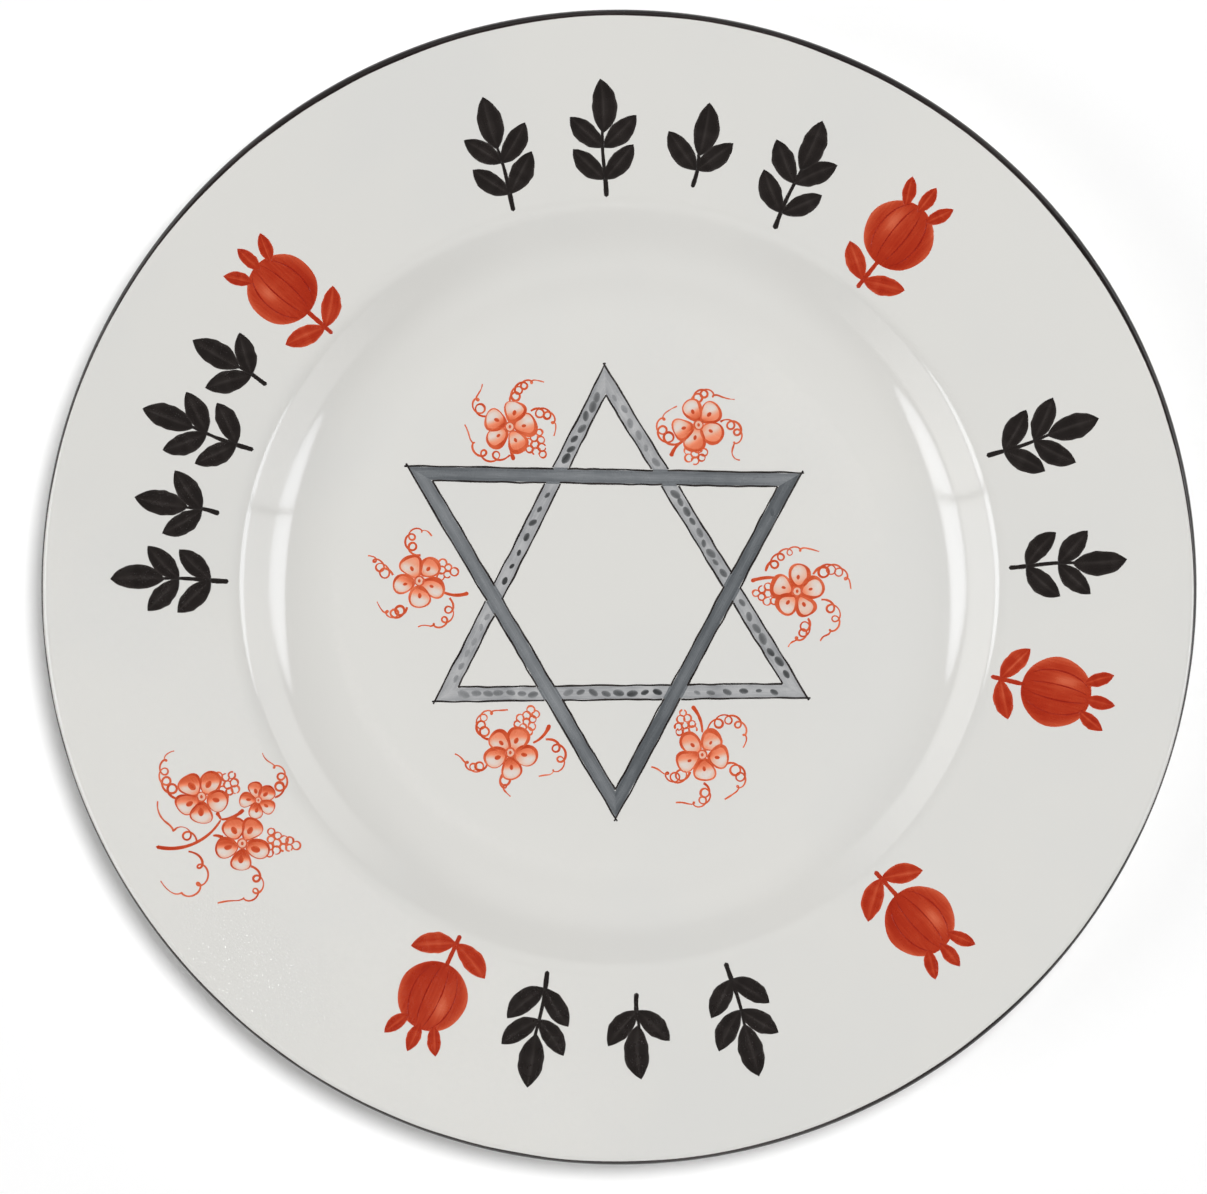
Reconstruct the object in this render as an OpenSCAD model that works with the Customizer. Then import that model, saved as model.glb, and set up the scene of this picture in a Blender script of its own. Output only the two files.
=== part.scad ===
// Havdalah plate: one pressed porcelain body under a clear glaze, painted on top with enamels.
// The well carries a six-pointed star of two triangles and six flower sprays, and the flange
// carries a border of leaf sprigs and pomegranates, one larger spray and a dark line at the rim.
// The origin is the centre of the foot ring on the table, +Z is up and +Y is the top of the star.

/* [Plate] */
// Diameter of the flat floor of the well
well_d = 120; // [110:1:140]
// Rise from the floor to the shoulder, where the wall of the well meets the flange
well_depth = 10.4; // [9:0.1:14]
// Slope of the wall of the well, in degrees
wall_slope = 35; // [28:1:42]
// Radius of the hollow curve between the floor and the wall
cavetto_r = 32; // [22:1:40]
// Radius of the rounded shoulder
shoulder_r = 9; // [7:0.5:14]
// Width of the flange, from the shoulder to the rim
flange_w = 42.3; // [38:0.1:55]
// Slope of the flange, in degrees
flange_slope = 8; // [4:0.5:12]
// Thickness of the base and of the wall of the well
base_t = 4; // [3:0.1:5]
// Thickness of the flange at the rim
lip_t = 2.6; // [1.8:0.1:3.6]

/* [Foot ring] */
// Distance from the edge of the flat floor out to the outer face of the foot ring
foot_out = 15; // [11:0.5:19]
// Height of the hollow under the base
foot_h = 3.2; // [2.6:0.1:5]
// Width of the foot ring where it stands on the table
foot_tip_w = 3; // [2:0.1:4.5]
// How far each side of the foot ring leans in towards its tip
foot_draft = 1; // [0.5:0.1:2]
// Radius of the hollow corners at the root of the foot ring
foot_fillet = 2; // [1:0.1:2.5]

/* [Glaze and enamel] */
// Thickness of the glaze
glaze_t = 0.25; // [0.2:0.01:0.4]
// Height of the bare strip at the tip of the foot ring, where the glaze is wiped off
glaze_stop = 1.2; // [0.8:0.1:1.5]
// Thickness of one layer of painted enamel
enamel_t = 0.15; // [0.1:0.01:0.25]
// Width of the dark line on the rim
rim_line_w = 1.2; // [0.8:0.1:2]

/* [Star] */
// Radius of the star, from its middle to its points
star_r = 50; // [42:0.1:54]
// Width of the bands that the triangles are drawn with
star_band = 3.7; // [3:0.1:4.6]
// Width of the dark outlines along both edges of a band
star_outline_w = 0.5; // [0.4:0.05:0.7]
// Diameter of the dabs on the pale triangle
dab_d = 1.7; // [1:0.1:2]
// Dabs on each stretch of the pale triangle between two crossings
dabs_per_run = 6; // [3:1:7]

/* [Flower sprays] */
// Diameter of a flower
flower_d = 11.7; // [9:0.1:13]
// Radius of one berry
berry_r = 0.95; // [0.7:0.05:1.3]
// Width of the thin brush strokes of the tendrils
tendril_w = 0.5; // [0.35:0.05:0.8]
// Width of the thicker brush strokes of the stems
stem_w = 1; // [0.6:0.1:1.5]
// Radius of the small curls on the tendrils
curl_r = 0.9; // [0.7:0.05:1.3]
// How far the spray on the flange stands outside the middle of the border
rim_spray_out = 2.4; // [0:0.1:4]

/* [Border] */
// Distance from the shoulder out to the middle of the border
border_in = 14.5; // [13.5:0.1:20]
// Length of the leaf at the top of a sprig
leaf_l = 12; // [9:0.1:13]
// Width of a leaf
leaf_w = 5.6; // [4:0.1:6.5]
// Spacing of the leaf pairs along a sprig
leaf_pitch = 7; // [5.5:0.1:8]
// Diameter of a pomegranate
fruit_d = 15.5; // [12:0.1:18]

/* [Hidden] */
$fn = 96;
arc_steps = 12;
overlap = 1;

white = [0.87, 0.865, 0.85];
biscuit = [0.9, 0.88, 0.84];
ink = [0.12, 0.1, 0.1];
iron_red = [0.72, 0.2, 0.1];
slate = [0.42, 0.45, 0.48];
pale_grey = [0.68, 0.69, 0.71];

// Where the painter set the points of the dark and the pale triangle and the six flowers, all
// anticlockwise and as shares of the radius of the star
star_down_places = [[-0.954, 0.546], [-0.013, -1.044], [0.823, 0.515]];
star_up_places = [[-0.064, 1], [-0.83, -0.516], [0.852, -0.498]];
flower_places = [
    [0.796, -0.018], [0.356, 0.724], [-0.486, 0.716],
    [-0.89, 0.028], [-0.484, -0.738], [0.372, -0.748]
];

// Places round the border in degrees from +X, and the leaf pairs on each sprig
pomegranate_angles = [51.5, 138.5, 245.5, 312, 346.5];
sprigs = [
    [3, 2], [19.5, 2], [66.5, 2], [79.5, 1], [92, 2], [105.5, 2], [150, 1],
    [159.5, 2], [169.5, 1], [179, 2], [259.5, 2], [272.5, 1], [286, 2]
];
rim_spray_angle = 211.5;

// A spray is a list of its flowers [x, y, size, turn], stems [x, y, heading, bend, sweep], bunches
// [x, y, heading, berries in each row] and tendrils [x, y, heading, bend, sweep, curls]. Places and
// bends are in flower radii, angles are in degrees, and a positive sweep bends to the left.
well_sprays = [
    [
        [[0, 0, 1, 15]],
        [[-0.49, 0.45, 165, 2.07, 36]],
        [[-0.88, -0.1, 178, [3, 3, 2, 1]]],
        [[-1.06, 0.67, 120, 0.97, -125, 3], [0.61, 0.6, 88, 0.79, -168, 3],
            [0.94, -0.33, 8, 0.75, -168, 2], [0.43, -0.95, -50, 0.53, -140, 2]]
    ],
    [
        [[0, 0, 1, 45]],
        [[-0.45, -0.55, 200, 0.97, 55]],
        [[-0.02, -0.9, -118, [3, 3, 2]]],
        [[-0.28, 0.81, 105, 0.57, -150, 2], [0.83, 0.15, 15, 0.57, -185, 2],
            [-0.93, -0.87, 175, 0.8, -150, 2]]
    ],
    [
        [[0, 0, 1, 80]],
        [[0.05, -0.6, -97, 1.24, 32]],
        [[0.8, -0.5, -50, [4, 3, 2, 1]]],
        [[-0.95, 0.36, 190, 0.7, -130, 1], [-0.01, -0.91, 215, 0.98, -135, 2],
            [0.09, 0.87, 95, 0.8, -120, 3], [0.77, 0.5, 40, 0.7, -155, 1]]
    ],
    [
        [[0, 0, 1, 49]],
        [[0.69, -0.29, -38, 1.2, 60]],
        [[0.86, 0.42, -10, [3, 2, 1]]],
        [[0, 0.85, 165, 0.5, -230, 2], [-0.95, 0.29, 125, 1.2, 55, 2],
            [-0.42, -0.92, 265, 0.72, -135, 2], [1.2, -0.62, -80, 0.72, -135, 2]]
    ],
    [
        [[0, 0, 1, 59]],
        [[0.86, 0.37, 22, 1.08, 52]],
        [[0.48, 0.95, 56, [3, 3, 2, 2]]],
        [[-0.74, 0.52, 185, 0.58, -190, 3], [-0.85, -0.45, 255, 0.5, -150, 2],
            [-0.2, -0.74, 240, 0.87, 80, 1], [1.35, 0.6, -5, 0.82, -160, 2]]
    ],
    [
        [[0, 0, 1, 60]],
        [[0, 0.84, 88, 1.4, 46]],
        [[-0.6, 0.9, 100, [3, 3, 2, 1]]],
        [[0.16, 0.85, 80, 0.74, -195, 3], [0.88, -0.36, 20, 0.71, -170, 2],
            [0.04, -0.95, -30, 0.6, -170, 2], [-0.48, -0.61, 268, 0.65, -143, 2]]
    ]
];
rim_spray_parts = [
    [[-0.94, 1.17, 1, 57], [0.6, -0.6, 1.02, 53], [1.2, 1.03, 0.7, 38]],
    [[-0.2, 0.31, -120, 2.17, -75], [-0.5, -0.3, 10, 0.46, -50], [-0.2, 0.31, 0, 1.14, 48],
        [-0.2, 0.31, 118, 2.3, 8]],
    [[-0.19, 1.57, 15, [4, 3, 3]], [1.66, -0.58, -5, [4, 3, 2, 2, 1]]],
    [[-1.84, 1.05, 145, 1.08, -135, 3], [-1.11, -0.62, 85, 0.68, 90, 1],
        [-1.33, -0.85, -20, 0.96, -215, 2], [0.85, -1.46, -5, 0.62, -185, 2],
        [1.79, 1.13, 5, 0.68, 165, 2]]
];

well_r = well_d / 2;
floor_z = foot_h + base_t;
foot_r = well_r + foot_out;
wall_x = well_r + cavetto_r * tan(wall_slope / 2);
shoulder = [wall_x + well_depth / tan(wall_slope), floor_z + well_depth];
rim = shoulder + flange_w * [1, tan(flange_slope)];
border_r = shoulder.x + border_in;
lip_r = 0.45 * lip_t;
foot_tip_r = foot_tip_w / 4;
prism_h = rim.y + glaze_t + 3 * enamel_t;

star_down = star_r * star_down_places;
star_up = star_r * star_up_places;
flower_r = flower_d / 2;

// Paths of the section are lists of corners [radius, height, rounding], drawn outwards along
// the face and back along the underside, so that the outside is always on the left.

function corner(c) = [c.x, c.y];
function unit(v) = v / norm(v);
function left_of(v) = [-v.y, v.x];
function heading(path, i) = unit(corner(path[i + 1]) - corner(path[i]));

// Where a line through p along u crosses a line through q along v
function crossing(p, u, q, v) =
    abs(cross(u, v)) < 1e-9 ? p : p + u * (cross(q - p, v) / cross(u, v));

// The path moved d to its left, with its roundings still concentric
function lifted(path, d) =
    let (last = len(path) - 1)
    [for (i = [0:last])
        let (
            u = heading(path, max(i - 1, 0)),
            v = heading(path, min(i, last - 1)),
            p = corner(path[i]),
            moved = crossing(p + d * left_of(u), u, p + d * left_of(v), v),
            rounding = path[i][2]
        )
        [moved.x, moved.y, rounding == 0 ? 0 : rounding - d * sign(cross(u, v))]];

// The arc that rounds corner b between a and c
function arc_at(a, b, c, r) =
    let (
        u = unit(a - b),
        v = unit(c - b),
        half = acos(u * v) / 2,
        centre = b + unit(u + v) * r / sin(half),
        from = b + u * r / tan(half) - centre,
        start = atan2(from.y, from.x),
        sweep = -sign(cross(u, v)) * (180 - 2 * half)
    )
    [for (k = [0:arc_steps])
        let (angle = start + sweep * k / arc_steps)
        centre + r * [cos(angle), sin(angle)]];

function rounded(path) =
    let (last = len(path) - 1)
    [for (i = [0:last]) each
        i == 0 || i == last || path[i][2] == 0
            ? [corner(path[i])]
            : arc_at(corner(path[i - 1]), corner(path[i]), corner(path[i + 1]), path[i][2])];

function reversed(list) = [for (i = [len(list) - 1:-1:0]) list[i]];

face = [
    [0, floor_z, 0],
    [wall_x, floor_z, cavetto_r],
    [shoulder.x, shoulder.y, shoulder_r],
    [rim.x, rim.y, 0]
];
wall_share = 0.8;
flange_face = [
    [wall_x + wall_share * (shoulder.x - wall_x), floor_z + wall_share * well_depth, 0],
    face[2], face[3]
];
under_shoulder = lifted(face, -base_t)[2];
foot_top_z = under_shoulder.y - (under_shoulder.x - foot_r) * tan(wall_slope);
foot_tip_out = foot_r - foot_draft;
foot_tip_in = foot_tip_out - foot_tip_w;

section = [
    face[0], face[1], face[2],
    [rim.x, rim.y, lip_r],
    [rim.x, rim.y - lip_t, lip_r],
    under_shoulder,
    [foot_r, foot_top_z, foot_fillet],
    [foot_tip_out, 0, foot_tip_r],
    [foot_tip_in, 0, foot_tip_r],
    [foot_tip_in - foot_draft, foot_h, foot_fillet],
    [0, foot_h, 0]
];

// Section of a layer that lies on the body all round, from one height above it to another
module coat(from, to) {
    difference() {
        polygon(rounded(lifted(section, to)));
        polygon(rounded(lifted(section, from)));
    }
}

// Section of a layer that lies on the shoulder and the flange
module flange_skin(from, to) {
    polygon(concat(rounded(lifted(flange_face, from)), reversed(rounded(lifted(flange_face, to)))));
}

// Everything inside the foot ring and above the bare strip
module base_hollow() {
    translate([0, glaze_stop]) square([foot_tip_in + foot_tip_w / 2, floor_z - base_t / 2 - glaze_stop]);
}

// A drawing laid on the glaze of the floor as a layer of enamel, up to where the floor ends
module on_floor(layer = 0) {
    translate([0, 0, floor_z + glaze_t + layer * enamel_t])
        linear_extrude(height = enamel_t) intersection() {
            children();
            circle(well_r);
        }
}

// A drawing laid on the glaze of the flange as a layer of enamel that follows its slope.
// Its middle comes to the middle of the border, with its +Y pointing out to the rim.
module on_flange(angle) {
    intersection() {
        rotate(angle - 90) translate([0, border_r]) linear_extrude(height = prism_h) children();
        rotate_extrude() flange_skin(glaze_t, glaze_t + enamel_t);
    }
}

// Body and glaze

module porcelain_body() {
    color(biscuit) rotate_extrude() polygon(rounded(section));
}

module face_glaze() {
    color(white) rotate_extrude() difference() {
        coat(0, glaze_t);
        base_hollow();
        translate([0, -overlap]) square([rim.x, glaze_stop + overlap]);
    }
}

module base_glaze() {
    color(white) rotate_extrude() intersection() {
        coat(0, glaze_t);
        base_hollow();
    }
}

module rim_line() {
    color(ink) rotate_extrude() intersection() {
        coat(glaze_t, glaze_t + enamel_t);
        translate([rim.x + glaze_t - rim_line_w, rim.y - lip_t / 2])
            square([rim_line_w + overlap, lip_t + overlap]);
    }
}

// Star

// A triangle with each side moved in by w, which shrinks it about the centre of its inscribed circle
function inset(points, w) =
    let (
        sides = [for (k = [0:2]) norm(points[(k + 1) % 3] - points[(k + 2) % 3])],
        round_it = sides[0] + sides[1] + sides[2],
        centre = sides * points / round_it,
        inscribed_r = cross(points[1] - points[0], points[2] - points[0]) / round_it
    )
    [for (p = points) centre + (p - centre) * (1 - w / inscribed_r)];

// The band between two insets of a triangle
module band(points, from, to) {
    difference() {
        polygon(inset(points, from));
        polygon(inset(points, to));
    }
}

module whole_band(points) {
    band(points, 0, star_band);
}

module band_fill(points) {
    band(points, star_outline_w, star_band - star_outline_w);
}

module band_outline(points) {
    difference() {
        whole_band(points);
        band_fill(points);
    }
}

// The dark band passes over the pale one, with its fill running out to both of its edges there
module star_down_fill() {
    color(slate) on_floor() {
        band_fill(star_down);
        intersection() {
            whole_band(star_down);
            band_fill(star_up);
        }
    }
}

module star_down_outline() {
    color(ink) on_floor() difference() {
        band_outline(star_down);
        band_fill(star_up);
    }
}

module star_up_fill() {
    color(pale_grey) on_floor() difference() {
        band_fill(star_up);
        whole_band(star_down);
    }
}

module star_up_outline() {
    color(ink) on_floor() difference() {
        band_outline(star_up);
        whole_band(star_down);
    }
}

// Where the side from p to q crosses the sides of a triangle, as shares of its length
function shares_crossed(p, q, points) =
    [for (k = [0:2])
        let (
            a = points[k],
            along = points[(k + 1) % 3] - a,
            share = cross(a - p, along) / cross(q - p, along),
            other = cross(p - a, q - p) / cross(along, q - p)
        )
        if (share > 0 && share < 1 && other > 0 && other < 1) share];

// Dabs along the middle of the pale band, in three runs on each side
module star_dabs() {
    middle = inset(star_up, star_band / 2);
    color(slate) on_floor(layer = 1)
        for (k = [0:2]) {
            p = middle[k];
            q = middle[(k + 1) % 3];
            crossed = shares_crossed(p, q, inset(star_down, star_band / 2));
            gap = (0.6 * star_band + dab_d) / norm(q - p);
            stops = [0, min(crossed), max(crossed), 1];
            for (run = [0:2], i = [0:dabs_per_run - 1]) {
                from = stops[run] + gap;
                to = stops[run + 1] - gap;
                translate(p + (q - p) * (from + (to - from) * (i + 0.5) / dabs_per_run))
                    circle(d = dab_d);
            }
        }
}

// Brush strokes

module ring(r, w) {
    difference() {
        circle(r + w / 2);
        circle(r - w / 2);
    }
}

// A stroke along an arc about the origin, from +X through the sweep
module arc_stroke(r, w, sweep) {
    wedge_steps = 6;
    intersection() {
        ring(r, w);
        polygon(concat([[0, 0]], [for (k = [0:wedge_steps])
            let (angle = sweep * k / wedge_steps)
            2 * r * [cos(angle), sin(angle)]]));
    }
}

// Mirrors what bends to the left where the sweep is to the right
module bent(sweep) {
    mirror([sweep < 0 ? 1 : 0, 0]) children();
}

// A curling tendril that leaves the origin along +Y
module tendril(bend_r, sweep, curls) {
    bent(sweep) translate([-bend_r, 0]) {
        arc_stroke(bend_r, tendril_w, abs(sweep));
        for (k = [1:curls])
            rotate(abs(sweep) * k / (curls + 1))
                translate([bend_r - 0.8 * curl_r, 0]) ring(curl_r, tendril_w);
    }
}

// A stem that leaves the origin along +Y
module stem(bend_r, sweep) {
    bent(sweep) translate([-bend_r, 0]) arc_stroke(bend_r, stem_w, abs(sweep));
}

// Five round petals about a centre that joins them, the first along +X
module flower(r) {
    petal_r = 0.37 * r;
    for (k = [0:4]) rotate(72 * k) translate([r - petal_r, 0]) circle(petal_r);
    circle(0.42 * r);
}

// A tapering bunch of berries along +Y, with its broad end at the origin
module berries(rows) {
    pitch = 1.7 * berry_r;
    for (row = [0:len(rows) - 1], k = [0:rows[row] - 1])
        translate([(k - (rows[row] - 1) / 2) * pitch, row * 0.87 * pitch]) circle(berry_r);
}

// Moves the origin to the place of a part, with +Y along its heading
module at(part) {
    translate(flower_r * [part[0], part[1]]) rotate(part[2] - 90) children();
}

module spray(parts) {
    for (f = parts[0]) translate(flower_r * [f[0], f[1]]) rotate(f[3]) flower(f[2] * flower_r);
    for (s = parts[1]) at(s) stem(s[3] * flower_r, s[4]);
    for (b = parts[2]) at(b) berries(b[3]);
    for (t = parts[3]) at(t) tendril(t[3] * flower_r, t[4], t[5]);
}

module flower_spray(i) {
    color(iron_red) on_floor() translate(star_r * flower_places[i]) spray(well_sprays[i]);
}

// The larger spray on the flange, drawn upright as the star is
module rim_spray() {
    color(iron_red) on_flange(rim_spray_angle)
        translate([0, rim_spray_out]) rotate(90 - rim_spray_angle) spray(rim_spray_parts);
}

// Border

// The disc that passes through both tips of a leaf and bulges to its right
module leaf_side(length, bulge) {
    r = (length * length / 4 + bulge * bulge) / (2 * bulge);
    translate([bulge - r, length / 2]) circle(r);
}

// A leaf along +Y from the origin, a little fuller on its right
module leaf(length, width) {
    intersection() {
        leaf_side(length, 0.55 * width);
        mirror([1, 0]) leaf_side(length, 0.45 * width);
    }
}

// A twig with leaf pairs and a leaf at its top, centred on its own length
module sprig(pairs) {
    twig_l = leaf_pitch * pairs;
    translate([0, -(twig_l + leaf_l) / 2]) {
        translate([-stem_w / 2, 0]) square([stem_w, twig_l + stem_w]);
        translate([0, twig_l]) leaf(leaf_l, leaf_w);
        for (k = [1:pairs], side = [0, 1])
            mirror([side, 0])
                translate([0, (k - 0.45) * leaf_pitch]) rotate(-44) leaf(0.85 * leaf_l, 0.85 * leaf_w);
    }
}

// A round fruit with a three-pointed crown and a leaf on each side of its stalk
module pomegranate() {
    crown_l = 0.42 * fruit_d;
    stalk_l = 0.45 * fruit_d;
    circle(d = fruit_d);
    for (tilt = [-28, 0, 28]) rotate(tilt) translate([0, 0.42 * fruit_d]) leaf(crown_l, 0.45 * crown_l);
    translate([-stem_w / 2, -fruit_d / 2 - stalk_l]) square([stem_w, stalk_l + overlap]);
    for (side = [0, 1])
        mirror([side, 0])
            translate([0, -fruit_d / 2 - 0.7 * stalk_l]) rotate(-62) leaf(0.8 * leaf_l, 0.8 * leaf_w);
}

module pomegranate_on_border(i) {
    color(iron_red) on_flange(pomegranate_angles[i]) pomegranate();
}

module leaf_sprig(i) {
    color(ink) on_flange(sprigs[i][0]) sprig(sprigs[i][1]);
}

porcelain_body();
face_glaze();
base_glaze();
rim_line();
star_down_fill();
star_down_outline();
star_up_fill();
star_up_outline();
star_dabs();
for (i = [0:len(flower_places) - 1])
    flower_spray(i);
rim_spray();
for (i = [0:len(pomegranate_angles) - 1])
    pomegranate_on_border(i);
for (i = [0:len(sprigs) - 1])
    leaf_sprig(i);
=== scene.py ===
"""Havdalah plate: the looks of a painted porcelain plate, made over its packed CAD model.

The body and its glaze are turned surfaces. All the painting is brush strokes of enamel: thin
closed slabs that are drawn in plan, draped on the glaze and coloured by how much pigment each
part carries.
"""

import math
from typing import NamedTuple

import bpy
import numpy as np
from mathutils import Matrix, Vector


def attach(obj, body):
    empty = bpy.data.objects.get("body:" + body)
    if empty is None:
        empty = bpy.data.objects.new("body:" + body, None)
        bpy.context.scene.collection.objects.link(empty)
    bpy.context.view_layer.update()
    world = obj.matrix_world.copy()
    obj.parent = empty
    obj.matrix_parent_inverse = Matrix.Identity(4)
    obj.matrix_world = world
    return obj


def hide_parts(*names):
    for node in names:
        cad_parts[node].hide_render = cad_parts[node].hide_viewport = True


bl_info = {
    "name": "Havdalah plate",
    "version": (1, 0, 0),
    "blender": (4, 5, 0),
    "location": "3D View > Sidebar > Plate",
    "description": "Makes a glazed porcelain plate with a painted star, flower sprays and border",
    "category": "Object",
}

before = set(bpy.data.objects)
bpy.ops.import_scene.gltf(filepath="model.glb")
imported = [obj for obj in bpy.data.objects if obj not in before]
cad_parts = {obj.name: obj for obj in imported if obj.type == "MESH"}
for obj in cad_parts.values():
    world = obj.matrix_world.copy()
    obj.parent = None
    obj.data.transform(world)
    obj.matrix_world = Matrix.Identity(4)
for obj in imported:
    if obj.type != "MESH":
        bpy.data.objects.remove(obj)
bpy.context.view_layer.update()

MM = 0.001
TAU = 2 * math.pi

# Meshes: steps round the body, the glaze and the rim line, the longest step along the section, and
# the angle from which an edge shows sharp
BODY_STEPS = 256
GLAZE_STEPS = 264
LINE_STEPS = 720
SECTION_STEP = 1.6 * MM
SHARP_EDGE = math.radians(40)

# Enamel: how far a layer sinks into the glaze, as a share of itself, the least half-width of a
# stroke, and the loads of pigment that show as a wash and as the darkest colour
SUNK = 0.15
LEAST_HALF = 0.012 * MM
WASH_LOAD = 0.4
MOST_LOAD = 1.5

# First seed of the random draws in each kind of piece
SEEDS = {
    "rim_line": 7, "star": 11, "sprays": 31, "rim_spray": 41, "pomegranates": 51, "sprigs": 71,
}

# Waves in the width of the rim line, from one round the plate upwards: share and phase
RIM_WAVES = ((0.56, 1.19), (0.34, 3.12), (0.16, 1.36), (0.21, 2.4))

# Mirrored banks, in metres: sizes of the ovals in each and their shares of its light, how far back
# an oval of size 1 stands, half the width of the dark seam, and how far in front of them it hangs
BANK_COLOUR = (0.93, 0.95, 1)
BANK_OVALS = ((1, 0.6), (0.88, 0.25), (0.7, 0.15))
OVAL_BACK = 0.02
SEAM_HALF_W = 0.028
SEAM_IN_FRONT = 0.1

# Floor and camera: half the floor's width in metres, the sensor's width in millimetres, and the
# place on the plate that the camera stands over
FLOOR_HALF = 12
SENSOR_MM = 36
VIEW_MIDDLE = (-3.415 * MM, -2.19 * MM)

# Shares of the star's radius, as x + iy: the points of both triangles and the six flowers
STAR_DOWN = np.array([-0.954 + 0.546j, -0.013 - 1.044j, 0.823 + 0.515j])
STAR_UP = np.array([-0.064 + 1j, -0.83 - 0.516j, 0.852 - 0.498j])
FLOWERS = np.array([
    0.796 - 0.018j, 0.356 + 0.724j, -0.486 + 0.716j,
    -0.89 + 0.028j, -0.484 - 0.738j, 0.372 - 0.748j,
])

# Places round the border in degrees from +X, and the leaf pairs on each sprig
POMEGRANATES = (51.5, 138.5, 245.5, 312, 346.5)
SPRIGS = (
    (3, 2), (19.5, 2), (66.5, 2), (79.5, 1), (92, 2), (105.5, 2), (150, 1),
    (159.5, 2), (169.5, 1), (179, 2), (259.5, 2), (272.5, 1), (286, 2),
)
RIM_SPRAY = 211.5

# Load of the dark triangle's sides from end to end, from its left point round by the bottom
BAND_LOADS = ((1, 1.13), (1.38, 1.45), (1, 1.28))

# Dabs on each stretch of the pale triangle, from its top round by the left: how many, size, loads
DABS = (
    ((7, 1.1, 0.6, 1.2), (7, 0.85, 1.1, 1.7), (6, 0.8, 0.2, 0.25)),
    ((7, 1.1, 0.35, 0.55), (8, 1, 0.45, 1.6), (6, 0.85, 0.45, 1.2)),
    ((7, 1.15, 1.1, 0.6), (9, 1.05, 0.7, 0.75), (6, 1.05, 0.35, 0.25)),
)


class Spray(NamedTuple):
    """Parts of a spray, with places and bends in flower radii and angles in degrees."""

    flowers: tuple  # place, size, turn, shaded side or None for a faint random one, strength
    stems: tuple  # place, heading, bend, sweep, which is positive to the left
    bunches: tuple  # place, heading, berries in each row
    tendrils: tuple  # as a stem, curls, bend and sweep of the tail, negative if it bends on


WELL_SPRAYS = (
    Spray(
        ((0, 1, 15, None, 0.15),),
        ((-0.49 + 0.45j, 165, 2.07, 36),),
        ((-0.88 - 0.1j, 178, (3, 3, 2, 1)),),
        ((-1.2 + 0.76j, 78, 1.17, -84, 3, -3.5, -13), (0.61 + 0.64j, 62, 0.74, -140, 3, -3.6, -6),
         (0.92 - 0.32j, 4, 0.69, -172, 2, 0.3, 65), (0.41 - 1.03j, -58, 0.57, -120, 2, 0.3, 75)),
    ),
    Spray(
        ((0, 1, 45, -60, 0.2),),
        ((-0.45 - 0.55j, 200, 0.97, 55),),
        ((-0.02 - 0.9j, -118, (3, 3, 2)),),
        ((-0.28 + 0.8j, 96, 0.51, -132, 2, 1.5, 35), (0.83 + 0.12j, 33, 0.54, -180, 2, 0.3, 150),
         (-0.78 - 0.72j, 198, 0.63, -155, 2, -2, -20)),
    ),
    Spray(
        ((0, 1, 80, -70, 0.15),),
        ((0.05 - 0.6j, -97, 1.24, 32),),
        ((0.8 - 0.5j, -50, (4, 3, 2, 1)),),
        ((-0.88 + 0.4j, 190, 0.46, -148, 1, 0.64, 45), (-1.08j, 224, 0.9, -128, 2, 1.5, 25),
         (0.9j, 96, 0.8, -96, 3, -1.5, -20), (0.8 + 0.6j, 36, 0.6, -122, 2, -1.2, -25)),
    ),
    Spray(
        ((0, 1, 49, 70, 0.1),),
        ((0.69 - 0.29j, -38, 1.2, 60),),
        ((0.86 + 0.42j, -10, (3, 2, 1)),),
        ((0.05 + 0.98j, 187, 0.52, -235, 2, -1, -10), (-1 + 0.22j, 120, 1.8, 30, 2, -0.6, -30),
         (-0.47 - 1j, 262, 0.48, -125, 2, -1.4, -25), (1.15 - 0.65j, -48, 0.68, -155, 2, 0.47, 55)),
    ),
    Spray(
        ((0, 1, 59, 90, 0.3),),
        ((0.86 + 0.37j, 22, 1.08, 52),),
        ((0.48 + 0.95j, 56, (3, 3, 2, 2)),),
        ((-0.75 + 0.5j, 180, 0.56, -184, 3, 3, 12), (-0.88 - 0.45j, 248, 0.46, -140, 2, 0.57, 55),
         (-0.28 - 0.8j, 225, 0.4, 80, 1, -1.9, -15), (1.35 + 0.5j, 8, 0.68, -188, 2, 1.2, 18)),
    ),
    Spray(
        ((0, 1, 60, 100, 0.1),),
        ((0.84j, 88, 1.4, 46),),
        ((-0.6 + 0.9j, 100, (3, 3, 2, 1)),),
        ((0.2 + 0.95j, 76, 0.77, -180, 3, -1, -20), (0.95 - 0.33j, 16, 0.56, -160, 2, -8, -5),
         (0.05 - 1.08j, -27, 0.48, -180, 2, 1.06, 35),
         (-0.47 - 0.65j, 258, 0.52, -137, 2, 0.75, 50)),
    ),
)
RIM_PARTS = Spray(
    ((-0.94 + 1.17j, 1, 57, 95, 0.8), (0.6 - 0.6j, 1.02, 53, 90, 0.8),
     (1.2 + 1.03j, 0.7, 38, 80, 0.8)),
    ((-0.2 + 0.31j, -120, 2.17, -75), (-0.5 - 0.3j, 10, 0.46, -50), (-0.2 + 0.31j, 0, 1.14, 48),
     (-0.2 + 0.31j, 118, 2.3, 8)),
    ((-0.19 + 1.57j, 15, (4, 3, 3)), (1.66 - 0.58j, -5, (4, 3, 2, 2, 1))),
    ((-1.84 + 1.08j, 160, 1.05, -104, 3, -0.57, -48), (-1.11 - 0.52j, 98, 0.65, 82, 1, 0.83, 100),
     (-1.42 - 0.89j, -8, 0.86, -204, 2, -1.4, -28), (0.93 - 1.46j, -18, 0.68, -170, 2, 2.2, 25),
     (1.82 + 1.13j, 18, 0.67, 150, 2, 0.53, 65)),
)


# Settings that a user would change


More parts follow.
